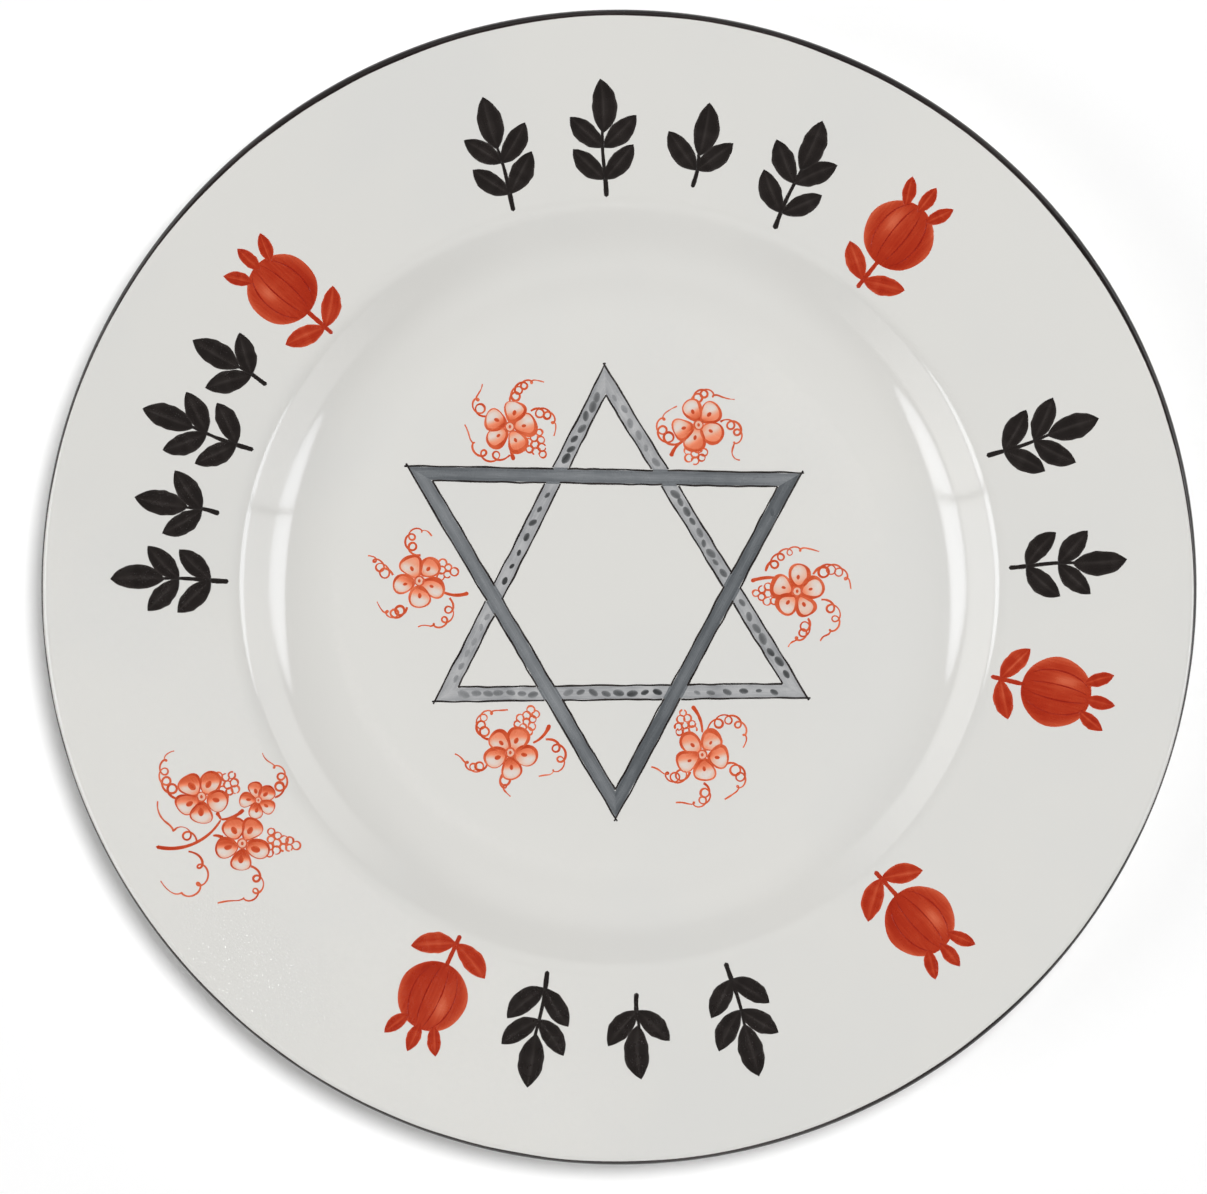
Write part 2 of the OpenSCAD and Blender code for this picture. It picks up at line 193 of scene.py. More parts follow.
def length(name, description, mm):
    """A size that is given in millimetres and kept in metres."""
    return bpy.props.FloatProperty(
        name=name, description=description, default=mm * MM, min=0, precision=5,
        subtype="DISTANCE", unit="LENGTH",
    )


def slope(name, description, degrees):
    """An angle that is given in degrees and kept in radians."""
    return bpy.props.FloatProperty(
        name=name, description=description, default=math.radians(degrees),
        subtype="ANGLE", unit="ROTATION",
    )


def colour(name, description, rgb):
    """A linear colour."""
    return bpy.props.FloatVectorProperty(
        name=name, description=description, default=rgb, size=3, min=0, max=1, subtype="COLOR",
    )


def level(name, description, value):
    """A plain number from 0 up."""
    return bpy.props.FloatProperty(name=name, description=description, default=value, min=0)


class PlateSizes(bpy.types.PropertyGroup):
    """Sizes of the body and its glaze"""

    well_d: length("Well", "Diameter of the flat floor of the well", 120)
    well_depth: length("Well depth", "Rise from the floor to the shoulder", 10.4)
    wall_slope: slope("Wall slope", "Slope of the wall of the well", 35)
    cavetto_r: length("Cavetto", "Radius of the hollow curve between floor and wall", 32)
    shoulder_r: length("Shoulder", "Radius of the rounded shoulder", 9)
    flange_w: length("Flange", "Width of the flange, from the shoulder to the rim", 42.3)
    flange_slope: slope("Flange slope", "Slope of the flange", 8)
    base_t: length("Base", "Thickness of the base and of the wall of the well", 4)
    lip_t: length("Lip", "Thickness of the flange at the rim", 2.6)
    foot_out: length("Foot out", "From the edge of the flat floor out to the foot ring", 15)
    foot_h: length("Foot height", "Height of the hollow under the base", 3.2)
    foot_tip_w: length("Foot tip", "Width of the foot ring where it stands", 3)
    foot_draft: length("Foot draft", "How far each side of the foot ring leans in", 1)
    foot_fillet: length("Foot fillet", "Radius of the hollow corners of the foot ring", 2)
    glaze_t: length("Glaze", "Thickness of the glaze", 0.25)
    glaze_stop: length("Bare strip", "Height of the bare strip at the tip of the foot ring", 1.2)
    uneven: length("Unevenness", "How far the flange rises and falls round the plate", 0.12)


class PaintSizes(bpy.types.PropertyGroup):
    """Sizes of the painting"""

    enamel_t: length("Enamel", "Thickness of one layer of enamel", 0.15)
    rim_line_w: length("Rim line", "Mean width of the dark line on the rim", 0.86)
    star_r: length("Star", "Radius of the star, from its middle to its points", 50)
    star_band: length("Band", "Width of the bands of the star", 3.7)
    star_outline_w: length("Outline", "Width of the outlines of the star", 0.5)
    dab_d: length("Dab", "Diameter of the dabs on the pale triangle", 1.7)
    flower_d: length("Flower", "Diameter of a flower", 11.7)
    berry_r: length("Berry", "Radius of one berry", 0.95)
    tendril_w: length("Tendril", "Width of a tendril where it starts", 0.5)
    stem_w: length("Stem", "Width of a stem", 1)
    curl_r: length("Curl", "Radius of the curls on a tendril", 0.9)
    rim_spray_out: length("Rim spray", "How far the rim spray stands out from the border", 2.4)
    border_in: length("Border", "From the shoulder out to the middle of the border", 14.5)
    leaf_l: length("Leaf length", "Length of the leaf at the top of a sprig", 12)
    leaf_w: length("Leaf width", "Width of a leaf", 5.6)
    leaf_pitch: length("Leaf pitch", "Spacing of the leaf pairs on a sprig", 7)
    fruit_d: length("Fruit", "Diameter of a pomegranate", 15.5)


class PlateColours(bpy.types.PropertyGroup):
    """Colours of the glaze, the bare body and the enamels"""

    glaze: colour("Glaze", "Glazed white porcelain", (0.708, 0.701, 0.672))
    biscuit: colour("Biscuit", "Bare porcelain on the foot", (0.72, 0.68, 0.61))
    red: colour("Red", "Red enamel where it is thick", (0.4, 0.029, 0.008))
    red_wash: colour("Red wash", "Red enamel where it is thin", (0.79, 0.27, 0.17))
    orange: colour("Orange", "Enamel of the sprays where it is thick", (0.56, 0.075, 0.024))
    orange_wash: colour("Orange wash", "The same where it is thin", (0.84, 0.27, 0.15))
    black: colour("Black", "Black enamel", (0.0125, 0.0095, 0.0085))
    black_wash: colour("Black wash", "Black enamel where it is thin", (0.1, 0.093, 0.09))
    slate: colour("Slate", "Grey enamel of the dark triangle", (0.172, 0.183, 0.193))
    slate_wash: colour("Slate wash", "The same where it is thin", (0.37, 0.38, 0.39))
    pale: colour("Pale grey", "Grey enamel of the pale triangle", (0.36, 0.364, 0.372))
    pale_wash: colour("Pale wash", "The same where it is thin", (0.52, 0.52, 0.52))
    dab: colour("Dab", "Dark grey of the dabs on the pale triangle", (0.085, 0.088, 0.09))
    dab_wash: colour("Dab wash", "The same where it is thin", (0.2, 0.205, 0.21))
    brown: colour("Brown", "Brown-black enamel of the rim line", (0.013, 0.0095, 0.009))
    brown_wash: colour("Brown wash", "The same where it is thin", (0.11, 0.085, 0.08))
    floor: colour("Floor", "Table that the plate stands on", (0.98, 0.98, 0.98))


class StudioLevels(bpy.types.PropertyGroup):
    """Light and camera"""

    key: level("Key", "Share of the light on the floor that comes from above", 0.86)
    fill: level("Fill", "Share of the light on the floor that comes from the left", 0.13)
    dome: level("Dome", "Share of the light on the floor that comes from all round", 0.07)
    left_bank: level("Left bank", "Radiance of the box on the left that the glaze mirrors", 6)
    right_bank: level("Right bank", "Radiance of the box on the right that the glaze mirrors", 6)
    left_wall: level("Left wall", "What the glaze mirrors low on the left", 2.8)
    right_wall: level("Right wall", "What the glaze mirrors low on the right", 2.1)
    end_walls: level("End walls", "What the glaze mirrors in front and behind", 0.88)
    horizon: level("Horizon", "What the glaze mirrors low all round", 0.45)
    ceiling: level("Ceiling", "What the glaze mirrors overhead", 0.12)
    lift: level("Lift", "Share of the floor that shows plain white", 0.12)
    camera_d: length("Camera", "Distance from the rim to the camera", 1500)
    view_w: length("View", "Width of the picture at the rim", 266.4)


def settings():
    """The four groups of settings: sizes, painting, colours and studio."""
    scene = bpy.context.scene
    return scene.plate_sizes, scene.plate_paint, scene.plate_colours, scene.plate_studio


# Materials


class Value:
    """What a node gives. Python's operators on it add Math nodes."""

    def __init__(self, tree, socket):
        self.tree, self.socket = tree, socket

    def math(self, operation, *terms):
        """A Math node of that operation on these terms."""
        return self.tree.add("Math", {"operation": operation}, dict(enumerate(terms)))

    def __add__(self, other):
        return self.math("ADD", self, other)

    def __sub__(self, other):
        return self.math("SUBTRACT", self, other)

    def __rsub__(self, other):
        return self.math("SUBTRACT", other, self)

    def __mul__(self, other):
        return self.math("MULTIPLY", self, other)

    __radd__, __rmul__ = __add__, __mul__

    def between(self, low, high):
        """0 below low and 1 above high, with a smooth step between them."""
        limits = {"Value": self, "From Min": low, "From Max": high}
        return self.tree.add("MapRange", {"interpolation_type": "SMOOTHSTEP"}, limits)


class NodeTree:
    """Adds nodes to the tree of a material or of the world."""

    def __init__(self, owner):
        owner.use_nodes = True
        self.nodes, self.links = owner.node_tree.nodes, owner.node_tree.links

    def add(self, kind, options=None, inputs=None, output=0):
        """A node of that kind with its options set first, then its sockets set or linked."""
        node = self.nodes.new("ShaderNode" + kind)
        for key, value in (options or {}).items():
            if key == "stops":
                ramp = node.color_ramp.elements
                while len(ramp) < len(value):
                    ramp.new(1)
                for stop, (position, rgb) in zip(ramp, value):
                    stop.position, stop.color = position, (*rgb, 1)
            else:
                setattr(node, key, value)
        for key, value in (inputs or {}).items():
            self.put(node.inputs[key], value)
        return Value(self, node.outputs[output])

    def put(self, socket, value):
        """Link a node's value to a socket, or set the socket to a constant."""
        if isinstance(value, Value):
            self.links.new(value.socket, socket)
        else:
            socket.default_value = value

    def blend(self, factor, first, second):
        """Two colours mixed by a factor."""
        inputs = {0: factor, 6: first, 7: second}
        return self.add("Mix", {"data_type": "RGBA"}, inputs, output=2)

    def rays(self):
        """Three values: 1 for a ray from the camera, a mirrored one and one that passes through."""
        kinds = ("Camera", "Glossy", "Transmission")
        return [self.add("LightPath", output=f"Is {kind} Ray") for kind in kinds]

    def noise(self, where, scale, detail=2.0, roughness=0.5):
        """Soft noise from 0 to 1 with that many cells to the unit of place."""
        inputs = {"Vector": where, "Scale": scale, "Detail": detail, "Roughness": roughness}
        return self.add("TexNoise", None, inputs)


class Finish(NodeTree):
    """One material, put together round its Principled shader."""

    def __init__(self, name):
        self.material = bpy.data.materials.new(name)
        super().__init__(self.material)
        self.shader = self.nodes["Principled BSDF"]
        self.place = self.add("TexCoord", output="Object")

    def surface(self, base, roughness, height, distance, **constants):
        """Set what the surface shows: colour, roughness, relief, and constants by socket name."""
        bump = {"Strength": 1.0, "Distance": distance, "Height": height}
        self.put(self.shader.inputs["Base Color"], base)
        self.put(self.shader.inputs["Roughness"], roughness)
        self.put(self.shader.inputs["Normal"], self.add("Bump", None, bump))
        for name, value in constants.items():
            self.put(self.shader.inputs[name.replace("_", " ")], value)
        return self.material


def glaze_finish(colours):
    """Clear glaze over white porcelain: slow waves, faint clouding, and a few tiny dark specks."""
    finish = Finish("white glaze")
    waves = finish.noise(finish.place, 46.0, 1.0)
    peel = finish.noise(finish.place, 420.0, 1.0)
    cloud = finish.noise(finish.place, 24.0, 3.0)
    cell = {"Vector": finish.place, "Scale": 62.0}
    speck_d = finish.add("TexVoronoi", {"feature": "F1"}, cell, output="Distance")
    speck_cell = finish.add("TexVoronoi", {"feature": "F1"}, cell, output="Color")
    chance = finish.add("SeparateColor", None, {"Color": speck_cell})
    specks = (1 - speck_d.between(0.006, 0.014)) * chance.between(0.72, 0.76)
    white = colours.glaze
    cool = [0.965 * white[0], 0.972 * white[1], 0.985 * white[2], 1]
    base = finish.blend(cloud.between(0.42, 0.72) * 0.55, (*white, 1), cool)
    speck_brown = (0.3, 0.2, 0.14, 1)
    base = finish.blend(specks * 0.5, base, speck_brown)
    height = waves + peel * 0.05
    return finish.surface(base, 0.055 + cloud * 0.05, height, 0.12 * MM, IOR=1.5)


def biscuit_finish(colours):
    """Unglazed porcelain: matt, with a fine grain and a little soiling where it stands."""
    finish = Finish("bare biscuit")
    grain = finish.noise(finish.place, 2600.0, 3.0)
    soil = finish.noise(finish.place, 70.0, 4.0)
    clean = colours.biscuit
    dirty = [0.72 * c for c in clean]
    base = finish.blend(soil.between(0.45, 0.75) * 0.7, (*clean, 1), (*dirty, 1))
    return finish.surface(base, 0.72 + grain * 0.2, grain, 0.03 * MM)


def pigment_stops(white, wash, dense):
    """Colour by load: white at 0, wash, dense at 1, and darker to the end, in equal ratios between.

    Each further layer of pigment takes the same share of the light, so channels change by powers.
    """
    white, wash, dense = (np.array(c) for c in (white, wash, dense))
    thin = [
        (load, white * (wash / white) ** (load / WASH_LOAD))
        for load in (0, 0.13, 0.27, WASH_LOAD)
    ]
    thick = [
        (load, wash * (dense / wash) ** ((load - WASH_LOAD) / (1 - WASH_LOAD)))
        for load in (0.6, 0.8, 1, 1.25, MOST_LOAD)
    ]
    return [(load / MOST_LOAD, np.clip(rgb, 0, 1)) for load, rgb in thin + thick]


def enamel_finish(name, colours, pigment, streaks, mottle, gloss=0.2, ground="glaze"):
    """Brushed enamel: each stroke's load, broken up by streaks along the stroke and by mottling.

    The pigment and the ground under it are named as in the colours.
    """
    finish = Finish(name)
    load = finish.add("Attribute", {"attribute_name": "load"}, output="Fac")
    edge = finish.add("Attribute", {"attribute_name": "edge"}, output="Fac")
    brush = finish.add("UVMap", {"uv_map": "brush"})
    along = finish.add("Mapping", None, {"Vector": brush, "Scale": (0.16, 2.6, 1)})
    hair = finish.noise(along, 1.0, 3.0, 0.6)
    patch = finish.noise(finish.place, 380.0, 3.0, 0.55)
    fine = finish.noise(finish.place, 1500.0, 2.0)
    uneven = 1 + (hair - 0.5) * (2 * streaks) + (patch - 0.5) * (2 * mottle)
    thin_edge = 1 - edge.between(0.7, 1.05) * 0.3
    density = load * uneven * thin_edge
    layers = (getattr(colours, key) for key in (ground, pigment + "_wash", pigment))
    ramp = {"stops": pigment_stops(*layers)}
    base = finish.add("ValToRGB", ramp, {"Fac": density * (1 / MOST_LOAD)})
    height = hair * 0.6 + fine * 0.4
    return finish.surface(base, gloss + patch * 0.16, height, 0.025 * MM, IOR=1.5)


# Section of the plate


def unit(v):
    """Vectors divided by their own lengths."""
    return v / np.linalg.norm(v, axis=-1, keepdims=True)


def left_of(v):
    """Vectors (r, z) turned a quarter to their left, to (-z, r)."""
    return np.stack([-v[..., 1], v[..., 0]], -1)


def cross(a, b):
    """Area between two plan vectors given as complex numbers."""
    return (np.conj(a) * b).imag


def lifted(corners, d):
    """Corners [r, z, rounding] moved d to their left along their mitres.

    With unit normals n and m before and after a corner, it moves by d (n + m) / (1 + n.m), and its
    rounding shrinks on a left turn and grows on a right one, so the arcs stay concentric.
    """
    points, rounding = corners[:, :2], corners[:, 2]
    headings = unit(np.diff(points, axis=0))
    u, v = np.vstack([headings[:1], headings]), np.vstack([headings, headings[-1:]])
    n, m = left_of(u), left_of(v)
    moved = points + d * (n + m) / (1 + (n * m).sum(1, keepdims=True))
    turn = np.sign(u[:, 0] * v[:, 1] - u[:, 1] * v[:, 0])
    return np.column_stack([moved, np.where(rounding > 0, rounding - d * turn, 0)])


def arc_at(a, b, c, r, steps=14):
    """Points of the arc of radius r that rounds corner b between a and c.

    Its centre lies r / sin(h) from b on the bisector, where h is half the corner's angle.
    """
    u, v = unit(a - b), unit(c - b)
    half = math.acos(float(u @ v)) / 2
    centre = b + unit(u + v) * r / math.sin(half)
    start = b + u * r / math.tan(half) - centre
    turn = -np.sign(u[0] * v[1] - u[1] * v[0]) * (math.pi - 2 * half)
    angle = math.atan2(start[1], start[0]) + turn * np.linspace(0, 1, steps + 1)
    return centre + r * np.column_stack([np.cos(angle), np.sin(angle)])


def rounded(corners):
    """Path through the corners with each rounded one replaced by its arc."""
    points, rounding = corners[:, :2], corners[:, 2]
    parts = [points[:1]]
    for i in range(1, len(points) - 1):
        parts.append(
            arc_at(points[i - 1], points[i], points[i + 1], rounding[i])
            if rounding[i] > 0 else points[i:i + 1]
        )
    return np.vstack([*parts, points[-1:]])


def close_up(path, step):
    """The same path with its long stretches divided evenly, so that no step is longer than step."""
    spans = np.linalg.norm(np.diff(path, axis=0), axis=1)
    parts = np.maximum(np.ceil(spans / step), 1).astype(int)
    at = np.concatenate([i + np.arange(n) / n for i, n in enumerate(parts)] + [[len(parts)]])
    index = np.arange(len(path))
    return np.column_stack([np.interp(at, index, column) for column in path.T])


class Plate:
    """The plate's section, worked out from its sizes, and the height of its face."""

    def __init__(self, sizes):
        self.sizes = sizes
        well_r = sizes.well_d / 2
        floor_z = sizes.foot_h + sizes.base_t
        wall_x = well_r + sizes.cavetto_r * math.tan(sizes.wall_slope / 2)
        wall_tan = math.tan(sizes.wall_slope)
        self.shoulder = (wall_x + sizes.well_depth / wall_tan, floor_z + sizes.well_depth)
        self.rim = (
            self.shoulder[0] + sizes.flange_w,
            self.shoulder[1] + sizes.flange_w * math.tan(sizes.flange_slope),
        )
        foot_r = well_r + sizes.foot_out
        lip_r = 0.45 * sizes.lip_t
        tip_out = foot_r - sizes.foot_draft
        tip_in = tip_out - sizes.foot_tip_w
        tip_r = sizes.foot_tip_w / 4
        face = np.array([
            (0, floor_z, 0),
            (wall_x, floor_z, sizes.cavetto_r),
            (*self.shoulder, sizes.shoulder_r),
            (*self.rim, 0),
        ])
        under = lifted(face, -sizes.base_t)[2]
        self.corners = np.vstack([face[:3], [
            (*self.rim, lip_r),
            (self.rim[0], self.rim[1] - sizes.lip_t, lip_r),
            under,
            (foot_r, under[1] - (under[0] - foot_r) * wall_tan, sizes.foot_fillet),
            (tip_out, 0, tip_r),
            (tip_in, 0, tip_r),
            (tip_in - sizes.foot_draft, sizes.foot_h, sizes.foot_fillet),
            (0, sizes.foot_h, 0),
        ]])
        top = self.path(sizes.glaze_t)
        self.face = top[:np.argmax(top[:, 0]) + 1]

    def path(self, lift):
        """The section lifted by that much, from the axis over the face and back underneath."""
        return close_up(rounded(lifted(self.corners, lift)), SECTION_STEP)

    def parted(self, lift):
        """The lifted section in two parts, cut where the glaze stops on each side of the foot."""
        path, stop = self.path(lift), self.sizes.glaze_stop
        below = path[:, 1] < stop
        down, up = np.flatnonzero(below)[[0, -1]]
        ends = []
        for i in (down - 1, up):
            share = (stop - path[i, 1]) / (path[i + 1, 1] - path[i, 1])
            ends.append(path[i:i + 1] + share * (path[i + 1] - path[i]))
        return np.vstack([path[:down], ends[0]]), np.vstack([ends[1], path[up + 1:]])

    def uneven(self, plan):
        """Rise of the flange at x + iy: two slow waves round the plate that grow outwards."""
        out = np.clip((abs(plan) - self.shoulder[0]) / self.sizes.flange_w, 0, None)
        angle = np.angle(plan)
        waves = 0.6 * np.cos(2 * angle - 0.7) + 0.4 * np.cos(3 * angle + 0.9)
        return self.sizes.uneven * out**2 * waves

    def height(self, plan):
        """Height of the glazed face over x + iy."""
        return np.interp(abs(plan), self.face[:, 0], self.face[:, 1]) + self.uneven(plan)


# Meshes


def turned(plate, path, segments):
    """Points and faces of a path turned once about Z, with its two ends on the axis.

    Point i of the path at angle a is (r cos a, r sin a, z), and each end is a single point.
    """
    spin = np.exp(1j * np.linspace(0, TAU, segments, endpoint=False))
    plan = path[1:-1, :1] * spin
    height = path[1:-1, 1:] + plate.uneven(plan)
    rings = np.stack([plan.real, plan.imag, height], -1).reshape(-1, 3)
    points = np.vstack([(0, 0, path[0, 1]), rings, (0, 0, path[-1, 1])])
    index = 1 + np.arange(len(rings)).reshape(plan.shape)
    after = np.roll(index, -1, 1)
    quads = np.stack([index[:-1], index[1:], after[1:], after[:-1]], -1).reshape(-1, 4)
    first, last = np.zeros(segments, int), np.full(segments, len(points) - 1)
    caps = np.vstack([
        np.column_stack([first, index[0], after[0]]),
        np.column_stack([index[-1], last, after[-1]]),
    ])
    return points, quads.tolist() + caps.tolist()


def slab_faces(rows, columns, wrapped=False):
    """Faces of a closed slab whose top is a grid and whose bottom is the same grid after it.

    Walls join the two along the grid's outline, or along its two long edges where its rows wrap.
    """
    top = np.arange(rows * columns).reshape(rows, columns)
    if wrapped:
        top = np.vstack([top, top[:1]])
        outlines = [top[::-1, 0], top[:, -1]]
    else:
        outlines = [np.concatenate([top[0], top[1:, -1], top[-1, -2::-1], top[-2::-1, 0]])]
    cells = np.stack([top[:-1, :-1], top[:-1, 1:], top[1:, 1:], top[1:, :-1]], -1).reshape(-1, 4)
    under = rows * columns
    walls = [np.column_stack([o[:-1], o[:-1] + under, o[1:] + under, o[1:]]) for o in outlines]
    return np.vstack([cells, cells[:, ::-1] + under, *walls])


def add_piece(name, points, faces, material, node):
    """An object at the origin that stands for a CAD node and rides on the plate's one body."""
    mesh = bpy.data.meshes.new(name)
    mesh.from_pydata(points, [], faces)
    mesh.shade_smooth()
    mesh.set_sharp_from_angle(angle=SHARP_EDGE)
    mesh.materials.append(material)
    piece = bpy.data.objects.new(name, mesh)
    bpy.context.scene.collection.objects.link(piece)
    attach(piece, "root")
    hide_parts(node)
    return piece


def add_painted(name, points, faces, load, edge, brush, material, node):
    """A piece with the load, edge and place under the brush that its enamel reads at each point."""
    piece = add_piece(name, points, faces.tolist(), material, node)
    for title, values in (("load", load), ("edge", edge)):
        piece.data.attributes.new(title, "FLOAT", "POINT").data.foreach_set("value", values)
    places = piece.data.uv_layers.new(name="brush").uv
    places.foreach_set("vector", brush[faces.ravel()].ravel())


# Brush strokes, drawn in plan as complex numbers x + iy


def cis(degrees):
    """Unit vector at that angle a from +X: cos(a) + i sin(a)."""
    return np.exp(1j * np.radians(degrees))


def bent(plan, sweep):
    """What bends to the left, mirrored where the sweep is to the right."""
    return plan if sweep > 0 else -np.conj(plan)


def run(path):
    """Length of a path up to each of its points."""
    return np.concatenate([[0], np.cumsum(abs(np.diff(path)))])


def straight(start, end, points):
    """Even steps from start to end."""
    return start + (end - start) * np.linspace(0, 1, points)


def curving(curvature, step):
    """Path that leaves 0 along +Y: its heading is the running sum of its curvature."""
    heading = math.pi / 2 + np.concatenate([[0], np.cumsum(curvature[:-1])]) * step
    return np.concatenate([[0], np.cumsum(np.exp(1j * heading[:-1]) * step)])


def arc(bend_r, sweep, points=40):
    """Arc that leaves 0 along +Y and bends to its left through the sweep, in degrees."""
    return bend_r * (cis(np.linspace(0, sweep, points)) - 1)


def looped(bend_r, sweep, curls, curl_r, tail_r, tail_sweep, points=320):
    """Arc as above and a tail to its right, wound into loops that lie on the arc's inner side.

    A point of that line moves by c (1 - cos(p)) to its left and 1.25 c sin(p) ahead. The phase p
    makes a full turn for each curl and one for the last wave, while c shrinks. A tail of negative
    radius and sweep bends on to the left.
    """
    arc_l, tail_l = bend_r * math.radians(sweep), tail_r * math.radians(tail_sweep)
    s, step = np.linspace(0, arc_l + tail_l, points, retstep=True)
    line = curving(np.where(s < arc_l, 1 / bend_r, -1 / tail_r), step)
    ahead = np.gradient(line)
    ahead = ahead / abs(ahead)
    t = np.clip((s - 0.1 * arc_l) / (0.88 * arc_l + 0.4 * tail_l), 0, 1)
    phase = TAU * (curls + 1) * t
    c = curl_r * (1.35 - 0.45 * t) * np.clip((1 - t) * (curls + 1), 0.2, 1)
    return line + c * ahead * (1j * (1 - np.cos(phase)) + 1.25 * np.sin(phase))


def blunt(path, half):
    """Half-widths that close in a half circle at both ends of the path."""
    s = run(path)
    near = np.clip(np.minimum(s, s[-1] - s) / np.maximum(half, 1e-9), 0, 1)
    return half * np.maximum(np.sqrt(1 - (1 - near) ** 2), 0.06)


class Enamel:
    """Strokes of one piece, draped on the glaze and gathered into one mesh."""

    def __init__(self, plate, paint, seed, place=lambda plan: plan):
        self.plate, self.layer, self.place = plate, paint.enamel_t, place
        self.random = np.random.default_rng(seed)
        self.parts, self.faces, self.count = [], [], 0

    def waver(self, points, amount, waves=5):
        """Smooth random factor round 1 along a stroke: a sum of sines of random phase."""
        t = np.linspace(0, 1, points)[:, None]
        k = np.arange(1, waves + 1)
        phase = self.random.uniform(0, TAU, waves)
        return 1 + amount * (np.sin(TAU * k * t + phase) / np.sqrt(k)).sum(1)

    def lay(self, grid, load, edge, along, across, rise):
        """Drape a plan grid as a slab: domed on top, and sunk a little into the glaze below.

        The top stands rise layers over the glaze, less half of that at the edges of the stroke.
        """
        grid = self.place(grid)
        fields = [np.broadcast_to(f, grid.shape) for f in (load, edge, along, across)]
        rows, columns = np.diff(grid[:, :-1], axis=0), np.diff(grid[:-1], axis=1)
        if cross(columns, rows).sum() < 0:
            grid, fields = grid[:, ::-1], [f[:, ::-1] for f in fields]
        load, edge, along, across = fields
        base = self.plate.height(grid)
        top = base + rise * self.layer * (1 - 0.5 * edge**4)
        z = np.concatenate([top.ravel(), (base - SUNK * self.layer).ravel()])
        plan = np.tile(grid.ravel(), 2)
        shift = self.random.uniform(0, 200, 2)
        brush = (along / MM + shift[0], across / MM + shift[1])
        self.parts.append(np.column_stack(
            [plan.real, plan.imag, z] + [np.tile(f.ravel(), 2) for f in (load, edge, *brush)]
        ))
        self.faces.append(slab_faces(*grid.shape) + self.count)
        self.count += 2 * grid.size

    def stroke(self, path, half, load=1.0, rise=1.0, lean=0.0, across=7):
        """A stroke: point (i, j) is path i moved to its right by v half[i], for v from -1 to 1.

        The right side is fuller by the share lean, and the left one thinner. The load may be given
        for each point of the path.
        """
        heading = np.gradient(path)
        side = -1j * heading / abs(heading)
        v = np.linspace(-1, 1, across)
        half = np.maximum(np.broadcast_to(half, path.shape), LEAST_HALF)[:, None]
        offset = half * v * (1 + lean * np.sign(v))
        load = np.asarray(load, float)
        self.lay(
            path[:, None] + side[:, None] * offset,
            load[:, None] if load.ndim == 1 else load,
            abs(v), run(path)[:, None], offset, rise,
        )

    def patch(self, a, b, c, d, load=1.0, rise=1.0, points=60, across=9):
        """A straight-sided stroke, in even steps from the edge a to b over to the edge d to c."""
        t, v = np.linspace(0, 1, points)[:, None], np.linspace(0, 1, across)
        grid = (1 - v) * (a + (b - a) * t) + v * (d + (c - d) * t)
        self.lay(grid, load, abs(2 * v - 1), abs(b - a) * t, abs(d - a) * v, rise)

    def blob(self, centre, along, half, load=1.0, rise=1.0, points=13, across=9):
        """An oval dab along a complex half-axis: y = -cos(p) and x = sin(p) for p from 0 to pi."""
        p = np.linspace(0, math.pi, points)
        self.stroke(centre - along * np.cos(p), half * np.sin(p), load, rise, across=across)

    def ring(self, centre, r, half, load=1.0, rise=1.0, points=30):
        """A small circle, closed by running a little past its start."""
        start = self.random.uniform(0, 360)
        path = centre + r * cis(start + np.linspace(0, 375, points))
        self.stroke(path, half * self.waver(points, 0.12, 3), load, rise, across=5)

    def piece(self, name, material, node, slot):
        """All the strokes so far as one painted piece."""
        data, faces = np.vstack(self.parts), np.vstack(self.faces)
        points, load, edge, brush = data[:, :3], data[:, 3], data[:, 4], data[:, 5:7]
        add_painted(name, points, faces, load, edge, brush, material, node)


# Shapes of the painting


def inset(points, w):
    """A triangle shrunk about the centre of its inscribed circle: each side moves in by w."""
    opposite = abs(np.roll(points, -1) - np.roll(points, -2))
    centre = (opposite * points).sum() / opposite.sum()
    inscribed_r = cross(points[1] - points[0], points[2] - points[0]) / opposite.sum()
    return centre + (points - centre) * (1 - w / inscribed_r)


def shares_crossed(p, q, triangle):
    """Where the side from p to q crosses a triangle's sides, as sorted shares of its length."""
    along = np.roll(triangle, -1) - triangle
    share = cross(triangle - p, along) / cross(q - p, along)
    other = cross(p - triangle, q - p) / cross(along, q - p)
    return np.sort(share[(share > 0) & (share < 1) & (other > 0) & (other < 1)])


def stretches(p, q, triangle, near, far):
    """The three pieces of the side from p to q that a triangle's band, from near to far, leaves."""
    outer = shares_crossed(p, q, inset(triangle, near))
    inner = shares_crossed(p, q, inset(triangle, far))
    cuts = np.sort(np.concatenate([[0, 1], outer, inner])).reshape(3, 2)
    return [(p + (q - p) * a, p + (q - p) * b) for a, b in cuts]


def sides(triangle):
    """The three sides, each as a point and the next one."""
    return list(zip(triangle, np.roll(triangle, -1)))


def draw_outlines(enamel, paint, triangle, other, near, far):
    """Both edges of a band as thin lines, broken where the other band, from near to far, passes.

    The outer lines run on a little past the points.
    """
    half, points = paint.star_outline_w / 2, 50
    for w, past in ((half, 0.6 * MM), (paint.star_band - half, 0)):
        for p, q in sides(inset(triangle, w)):
            along = (q - p) / abs(q - p)
            pieces = np.array(stretches(p, q, other, near, far))
            pieces[0, 0] -= past * along
            pieces[-1, -1] += past * along
            for start, end in pieces:
                path = straight(start, end, points)
                path = path + (enamel.waver(points, 0.05) - 1) * MM * 1j * along
                load = np.clip(0.95 * enamel.waver(points, 0.1), 0.5, 1.3)
                enamel.stroke(path, 0.82 * half * enamel.waver(points, 0.09), load, across=5)


